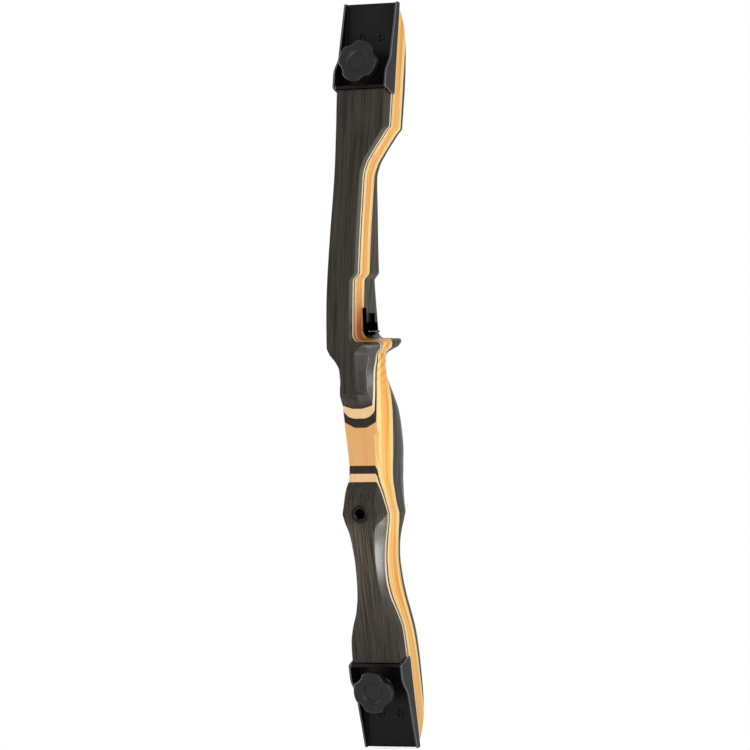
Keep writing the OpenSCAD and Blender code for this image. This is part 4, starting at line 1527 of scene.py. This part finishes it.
@dataclass
class WoodenRiser:
    """The laminated wood: ten pieces cut from one carved blank."""

    blank: Blank
    ware: Hardware
    bushing: StabiliserBushing
    crowding: float = 2.2

    def woods(self) -> list[WoodFinish]:
        """The finishes of the six kinds of layer."""
        return [
            # The face wood gets a painted sheen below the bushing.
            WoodFinish(
                "dark_face_wood", (63, 57, 49), (61, 55, 48), (29, 26, 22), streak_w=0.8,
                streak_len=45, figure=0.3, grain=0.7, pores=0.5, lower_light=0.65, specular=0.14,
                polish=1, seed=1.7,
            ),
            WoodFinish(
                "dark_belly_wood", (78, 69, 55), (76, 67, 53), (28, 25, 20), figure=0.3, grain=0.45,
                ring_gap=8, ring=0.6, specular=0.15, seed=5.2,
            ),
            WoodFinish(
                "cream_veneer", (232, 196, 146), (244, 226, 190), (214, 168, 112), streak_w=0.8,
                streak_len=12, figure=0.25, grain=0.35, pores=0.15, specular=0.2, seed=2.4,
            ),
            WoodFinish(
                "dark_veneer", (48, 42, 39), (40, 33, 29), (24, 21, 19), figure=0.3, specular=0.12,
                seed=3.1,
            ),
            # The two cores get a painted shade in the shelf's corner.
            WoodFinish(
                "pale_core", (218, 168, 112), (254, 226, 158), (216, 154, 84), streak_w=0.8,
                figure_w=1.6, grain=0.35, pores=0.15, curl=0.4, corner_dark=0.8,
                corner=(190, 126, 74), specular=0.2, seed=4.6,
            ),
            WoodFinish(
                "honey_core", (228, 168, 84), (246, 190, 98), (222, 138, 46), streak_w=1.2,
                streak_len=80, figure_w=2.2, figure=0.6, grain=0.3, pores=0.1, curl=0.7,
                corner_dark=1, specular=0.2, seed=7.9,
            ),
        ]

    def layer(self, cut: Lamination) -> bmesh.types.BMesh:
        """The closed shape of one layer, before its bores.

        Args:
            cut: The layer.

        Returns:
            Its shape.
        """
        blank, tiny, lean_room = self.blank, 0.001, 4
        low_wall = cut.walls and cut.low <= -blank.wall_z + tiny
        high_wall = cut.walls and cut.high >= blank.wall_z - tiny
        first = cut.low + lean_room if low_wall else cut.low - tiny
        last = cut.high - lean_room if high_wall else cut.high + tiny
        rings = [(z, 0) for z in blank.heights() if first < z < last]
        if low_wall:
            rings.insert(0, (cut.low, -1))
        if high_wall:
            rings.append((cut.high, 1))
        across = len(cut.shares)

        def place(column: int, row: int) -> Vector:
            """A point of the ring: down the right side, then back up the left one."""
            height, wall = rings[row]
            begin = max(cut.front, blank.hollow_in(height))
            end = min(cut.back, blank.belly_line.at(height))
            right = column < across
            share = cut.shares[column if right else 2 * across - 1 - column]
            return blank.point(height, mix(begin, end, share), right, wall)

        return warped_grid(2 * across, len(rings) - 1, place)

    def add_pocket_bores(self, bores: bmesh.types.BMesh) -> None:
        """Adds the bores under both pockets: the bolt's insert, the bolt and the two screws.

        Args:
            bores: The shape that they are added to.
        """
        ware, sheet, top = self.ware, self.blank.sheet, 1
        insert, screw = ware.insert_d / 2 + ware.bore_gap, ware.screw_d / 2 + ware.bore_gap
        bolt = (ware.bolt_d + ware.bolt_play) / 2
        floor = ware.washer_t - ware.bolt_len - 2 * ware.run_gap
        ledge = -sheet - ware.insert_len - ware.run_gap
        low = -sheet - ware.screw_len - ware.run_gap
        stepped = [(0, floor), (bolt, floor), (bolt, ledge), (insert, ledge), (insert, top), (0, top)]
        shank = [(0, low), (screw, low), (screw, top), (0, top)]
        for end in End:
            join(bores, turned(stepped, 48, ware.bolt_seat(self.blank, end, moved=False)))
            for seat in ware.screw_seats(self.blank, end):
                join(bores, turned(shank, 32, seat))

    def crowded(self, count: int) -> list[float]:
        """Shares from 0 to 1 that lie closer together near 0."""
        return [(i / count) ** self.crowding for i in range(count + 1)]

    def laminations(self) -> list[Lamination]:
        """The ten layers, from the face to the belly.

        Returns:
            The layers.
        """
        blank, top, deep = self.blank, self.blank.wall_z, 2 * self.blank.palm_depth
        corner, front, thin = self.crowded(26), self.crowded(22), self.crowded(18)
        even = [i / 8 for i in range(9)]
        belly = [math.sin(quarter(i, 22)) for i in range(23)]
        fronts = [
            ("face_layer", "dark_face_wood", 0, blank.cream_at, corner),
            ("cream_veneer", "cream_veneer", blank.cream_at, blank.dark_at, thin),
            ("dark_veneer", "dark_veneer", blank.dark_at, blank.core_at, thin),
        ]
        cuts, ends = [], zip(blank.upper_ends, blank.lower_ends)
        for (node, finish, near, far, shares), (up, down) in zip(fronts, ends):
            cuts += [
                Lamination(node + "_upper", finish, near, far, up, top, shares, walls=True),
                Lamination(node + "_lower", finish, near, far, -top, down, shares, walls=True,
                           bushing=True),
            ]
        core, rear, behind = blank.wood_end_z, blank.rear_end_z, blank.belly_end_z
        honey_at, rear_at, belly_at = blank.honey_at, blank.rear_at, blank.belly_at
        return cuts + [
            Lamination("pale_core_front", "pale_core", blank.core_at, honey_at, -core, core, front,
                       bushing=True, pockets=True),
            Lamination("honey_core", "honey_core", honey_at, rear_at, -core, core, even,
                       bushing=True, pockets=True),
            Lamination("pale_core_rear", "pale_core", rear_at, belly_at, -rear, rear, even,
                       pockets=True),
            Lamination("belly_layer", "dark_belly_wood", belly_at, deep, -behind, behind, belly,
                       pockets=True),
        ]

    def build(self) -> None:
        """Makes the ten pieces of wood."""
        materials = {wood.name: wood.material(self.blank) for wood in self.woods()}
        for cut in self.laminations():
            bores = self.bushing.hole(self.ware.bore_gap) if cut.bushing else None
            if cut.pockets:
                bores = bores or bmesh.new()
                self.add_pocket_bores(bores)
            piece = Piece(cut.node, "wood", "riser", cut.finish, materials[cut.finish])
            piece.make(self.layer(cut), bores)


@dataclass
class LimbHardware:
    """Pockets, screws, bolts, washers, knobs and caps at both ends."""

    blank: Blank
    ware: Hardware
    pocket_edge: float = 0.6
    washer_edge: float = 0.25
    lobe_blend: float = 1.8
    knob_turn: dict[End, float] = field(default_factory=lambda: {End.UPPER: 24, End.LOWER: 46})

    def outline(self, angle: float) -> float:
        """Radius of the knob's lobed outline at an angle from its first scallop.

        Args:
            angle: The angle, in radians.

        Returns:
            The radius.
        """
        ware, lobe = self.ware, math.pi / 2
        full, middle = ware.knob_d / 2, ware.scallop_in + ware.scallop_r
        off = abs((angle + lobe / 2) % lobe - lobe / 2)
        beside = middle * math.sin(off)
        if beside >= ware.scallop_r:
            return full
        bite = middle * math.cos(off) - math.sqrt(ware.scallop_r**2 - beside**2)
        close = max(self.lobe_blend - abs(full - bite), 0) / self.lobe_blend
        return min(full, bite) - close * close * self.lobe_blend / 4

    def knob(self, end: End) -> bmesh.types.BMesh:
        """A knob: a round hub, a head with four scallops and a dished middle with a cap in it.

        Args:
            end: Which end it is at.

        Returns:
            Its shape.
        """
        ware, soft, cut, fillet = self.ware, 0.5, 0.15, 1
        bore, hub, top = ware.bolt_d / 2 + ware.bore_gap, ware.hub_d / 2, ware.knob_top
        cap, dish, floor = ware.cap_d / 2 + ware.bore_gap, ware.dish_d / 2, ware.dish_floor
        low, head, bore_top = ware.hub_low, ware.head_low, ware.bolt_top + ware.run_gap
        round_part = [
            (0, bore_top), (bore, bore_top), (bore, low + soft), (bore + soft, low),
            (hub - soft, low), (hub - cut, low + cut), (hub, low + soft), (hub, head - fillet),
            (hub + 2 * cut, head - 2 * cut), (hub + fillet, head),
        ]
        lobed_part = [(-soft, head), (-cut, head + cut), (0, head + soft)]
        lobed_part += rounded(0, top, ware.knob_bevel, 6)
        rings = round_part + lobed_part + [
            (dish + soft, top), (dish + cut, top - 0.1), (dish, top - 0.35), (cap + 0.7, floor + cut),
            (cap + 0.3, floor), (cap, floor - 0.2), (cap, ware.cap_low), (0, ware.cap_low),
        ]
        lobed_rows = range(len(round_part), len(round_part) + len(lobed_part))
        seat, segments = ware.bolt_seat(self.blank, end), 240
        turn = math.radians(self.knob_turn[end])

        def place(column: int, row: int) -> Vector:
            """A point of the knob's skin; the head's radii are counted from its lobed outline."""
            radius, height = rings[row]
            angle = 2 * math.pi * column / segments
            if row in lobed_rows:
                radius += self.outline(angle - turn)
            return on_ring(seat, angle, radius, height)

        return warped_grid(segments, len(rings) - 1, place)

    def cap(self, end: End) -> bmesh.types.BMesh:
        """A slightly domed cap with a soft edge.

        Args:
            end: Which end it is at.

        Returns:
            Its shape.
        """
        ware, soft, dome, turns = self.ware, 0.45, 0.25, 6
        radius, floor, rim = ware.cap_d / 2, ware.dish_floor, ware.cap_d / 2 - soft
        outline = [(0, ware.cap_low), (radius, ware.cap_low), (radius, floor - soft)]
        outline += rounded(radius, floor - dome, soft, 4)[1:]
        shares = [1 - i / turns for i in range(1, turns + 1)]
        outline += [(rim * share, floor - dome * share**2) for share in shares]
        return turned(outline, 96, ware.bolt_seat(self.blank, end))

    def bolt(self, end: End) -> bmesh.types.BMesh:
        """A threaded stud: its skin winds in and out with the thread.

        Args:
            end: Which end it is at.

        Returns:
            Its shape.
        """
        ware, segments, to_a_pitch, run_out, chamfer = self.ware, 48, 8, 1.5, 0.7
        low, top, steep, crest = ware.hub_low - ware.bolt_len, ware.bolt_top, 1.25, 0.1
        rows = round((top - low) / ware.thread_pitch * to_a_pitch)
        seat = ware.bolt_seat(self.blank, end)

        def place(column: int, row: int) -> Vector:
            """A point of the thread; the first and last rows close the ends."""
            height = mix(low, top, clamp((row - 1) / (rows - 2), 0, 1))
            angle = 2 * math.pi * column / segments
            phase = (height / ware.thread_pitch - angle / (2 * math.pi)) % 1
            groove = ware.thread_deep * clamp(steep * (1 - abs(2 * phase - 1)) - crest, 0, 1)
            taper = clamp((height - low) / run_out, 0, 1)
            radius = ware.bolt_d / 2 - groove - (1 - taper) * chamfer
            return on_ring(seat, angle, 0 if row in (0, rows) else radius, height)

        return warped_grid(segments, rows, place)

    def screws(self, end: End) -> tuple[bmesh.types.BMesh, bmesh.types.BMesh]:
        """The two pocket screws, sunk and with a crowned middle, and their cross recesses.

        Args:
            end: Which end they are at.

        Returns:
            The shape of both screws, and what is cut out of them.
        """
        ware, sheet, crown = self.ware, self.blank.sheet, self.ware.crown_d / 2
        shank, low, tip = ware.screw_d / 2, -sheet - ware.screw_len, ware.screw_tip
        outline = [
            (0, low), (shank - tip, low), (shank, low + tip), (shank, -sheet), (crown, -1),
            (crown + 0.05, -0.9), (crown, -0.25), (crown - 0.15, -0.1), (crown - 0.5, -0.03),
            (1.5, 0.02), (0, 0.04),
        ]
        screws, crosses = bmesh.new(), bmesh.new()
        reach = Matrix.Diagonal((ware.cross_len, ware.cross_w, 2 * ware.cross_deep, 1))
        for seat in ware.screw_seats(self.blank, end):
            join(screws, turned(outline, 64, seat))
            for turn in (0, math.pi / 2):
                arm = bmesh.new()
                bmesh.ops.create_cube(arm, size=1, matrix=seat @ Matrix.Rotation(turn, 4, "Z") @ reach)
                bmesh.ops.recalc_face_normals(arm, faces=arm.faces)
                join(crosses, arm)
        return screws, crosses

    def build(self) -> None:
        """Makes the hardware at both ends."""
        # The pockets get a painted highlight on their outer rounded edges.
        steel = CoatedSteel("pocket_black", (13, 12, 14), rough=0.26, worn=1).material()
        black = CoatedSteel("screw_black", (12, 12, 13), specular=0.14).material()
        knob = MouldedPlastic("knob_plastic", (15, 14, 16)).material()
        cap = MouldedPlastic("cap_plastic", (16, 15, 17)).material()
        bolt = TurnedMetal("bolt_steel", (172, 172, 170)).material()
        brass = TurnedMetal("insert_brass", (190, 158, 90)).material()
        for end in End:
            word, body = end.word, f"{end.word}_bolt_body"
            pocket = Piece(f"{word}_pocket", "steel", "riser", "pocket_black", steel)
            pocket.from_cad(self.pocket_edge, 4, near=0.1, flat=3, clamped=False)
            screws = Piece(f"{word}_pocket_screws", "steel", "riser", "screw_black", black)
            screws.make(*self.screws(end))
            Piece(f"{word}_knob", "moulding", body, "knob_plastic", knob, 50).make(self.knob(end))
            Piece(f"{word}_knob_cap", "disc", body, "cap_plastic", cap).make(self.cap(end))
            Piece(f"{word}_limb_bolt", "stud", body, "bolt_steel", bolt, 60).make(self.bolt(end))
            washer = Piece(f"{word}_washer", "ring", f"{word}_washer_body", "bolt_steel", bolt)
            washer.from_cad(self.washer_edge)
            dress(f"{word}_bolt_insert", brass)


@dataclass
class ArrowRest:
    """The stick-on rest: foam pad, moulded base and wire arm."""

    edge: float = 0.3

    def build(self) -> None:
        """Makes the three pieces."""
        foam = Foam("rest_foam", (1, 1, 1)).material()
        plastic = MouldedPlastic("rest_plastic", (1, 1, 1), rough=0.5, specular=0.0).material()
        steel = TurnedMetal("arm_steel", (110, 107, 102), rough=0.4).material()
        Piece("rest_pad", "foam", "riser", "rest_foam", foam).from_cad(self.edge / 2)
        Piece("rest_plate", "moulding", "riser", "rest_plastic", plastic).from_cad(self.edge, 3)
        Piece("rest_arm", "wire", "rest_arm_body", "arm_steel", steel, 60).from_cad()


@dataclass(frozen=True)
class Lamp:
    """A soft rectangular lamp: its place, its width and height in metres, and its watts."""

    name: str
    place: tuple[float, float, float]
    size: tuple[float, float]
    power: float

    def hang(self) -> None:
        """Hangs the lamp, which looks at the riser's middle."""
        data = bpy.data.lights.new(self.name, "AREA")
        data.shape = "RECTANGLE"
        data.size, data.size_y = self.size
        data.energy = self.power
        lamp = new_object(self.name, data)
        lamp.location = self.place
        lamp.rotation_mode = "QUATERNION"
        lamp.rotation_quaternion = (-Vector(self.place)).to_track_quat("-Z", "Y")


LAMPS = (
    Lamp("right", (1.6, 0.5, 0.3), (0.9, 1.6), 6.4),
    Lamp("low_right", (1.13, 0.6, -0.62), (0.6, 0.8), 4.4),
    Lamp("left_strip", (-1.4, 0.25, 0.15), (0.25, 1.4), 11),
    Lamp("front_low", (0.3, -2.0, -0.5), (1.2, 1.2), 21),
    Lamp("front_left", (-1.7, -1.0, 0.5), (0.8, 1.2), 5),
    Lamp("front_right", (1.3, -1.15, 0.3), (0.4, 1.0), 6),
)


@dataclass
class Studio:
    """Camera, lamps, world and floor."""

    blank: Blank
    azimuth: float = 26.5
    elevation: float = 0.8
    distance: float = 4200
    mm_to_pixel: float = 0.8152
    image: int = 750
    roll: float = 0.0279
    pivot_row: float = 376
    pivot_y: float = 4.93
    sensor: float = 36
    world_light: float = 0.45
    floor_radius: float = 0.3
    floor_lift: float = 0.62

    def camera(self) -> None:
        """Sets the camera at the photograph's angle, so far away that little is foreshortened."""
        turned_by, raised = math.radians(self.azimuth), math.radians(self.elevation)
        level = math.cos(raised)
        back = Vector((math.sin(turned_by) * level, -math.cos(turned_by) * level, math.sin(raised)))
        drop = (self.pivot_row - self.image / 2) * self.mm_to_pixel
        pivot = Vector((0, self.pivot_y, drop - self.blank.throat_z)) * MM
        data = bpy.data.cameras.new("camera")
        data.sensor_width = self.sensor
        data.lens = self.sensor * self.distance / (self.image * self.mm_to_pixel)
        data.clip_start, data.clip_end = 0.1, 50
        camera = new_object("camera", data)
        camera.location = pivot + back * self.distance * MM
        turn = (-back).to_track_quat("-Z", "Y")
        camera.rotation_mode = "QUATERNION"
        camera.rotation_quaternion = turn @ Matrix.Rotation(-self.roll, 3, "Z").to_quaternion()
        bpy.context.scene.camera = camera

    def world(self) -> None:
        """A soft grey world that looks white where it is seen, straight or mirrored."""
        world = bpy.data.worlds.new("studio")
        bpy.context.scene.world = world
        book = NodeBook(world)
        level = book.seen("Glossy", "Transmission") * (1 - self.world_light) + self.world_light
        light = book.make("ShaderNodeBackground", {}, {"Color": (1, 1, 1, 1), "Strength": level})
        book.make("ShaderNodeOutputWorld", {}, {"Surface": light})

    def floor(self) -> None:
        """A plain pale floor just under the lower tip, lifted to white where it is seen."""
        low, under, grey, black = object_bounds()[0], 0.0003, (235, 235, 235), (0, 0, 0, 1)
        bm = bmesh.new()
        bmesh.ops.create_circle(bm, cap_ends=True, segments=96, radius=self.floor_radius)
        bmesh.ops.translate(bm, verts=bm.verts, vec=(0, 0, low.z - under))
        floor = new_object("floor", as_mesh(bm, "floor"))
        book = NodeBook(bpy.data.materials.new("floor"))
        lift = (self.floor_lift,) * 3 + (1,)
        floor.data.materials.append(book.finish({
            "Base Color": linear(grey),
            "Roughness": 0.9,
            "Specular IOR Level": 0.1,
            "Emission Color": book.blend(book.seen("Glossy"), black, lift),
            "Emission Strength": 1.0,
        }))
        floor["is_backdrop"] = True

    def build(self) -> None:
        """Sets up the studio."""
        scene = bpy.context.scene
        scene.view_settings.view_transform = "Standard"
        self.camera()
        self.world()
        for lamp in LAMPS:
            lamp.hang()
        self.floor()


def main() -> None:
    """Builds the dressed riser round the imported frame."""
    logging.basicConfig(level=logging.INFO, format="%(message)s")
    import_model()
    blank, ware = Blank(), Hardware()
    bushing = StabiliserBushing(blank)
    Studio(blank).build()
    WoodenRiser(blank, ware, bushing).build()
    LimbHardware(blank, ware).build()
    bushing.build()
    ArrowRest().build()


if __name__ == "__main__":
    main()
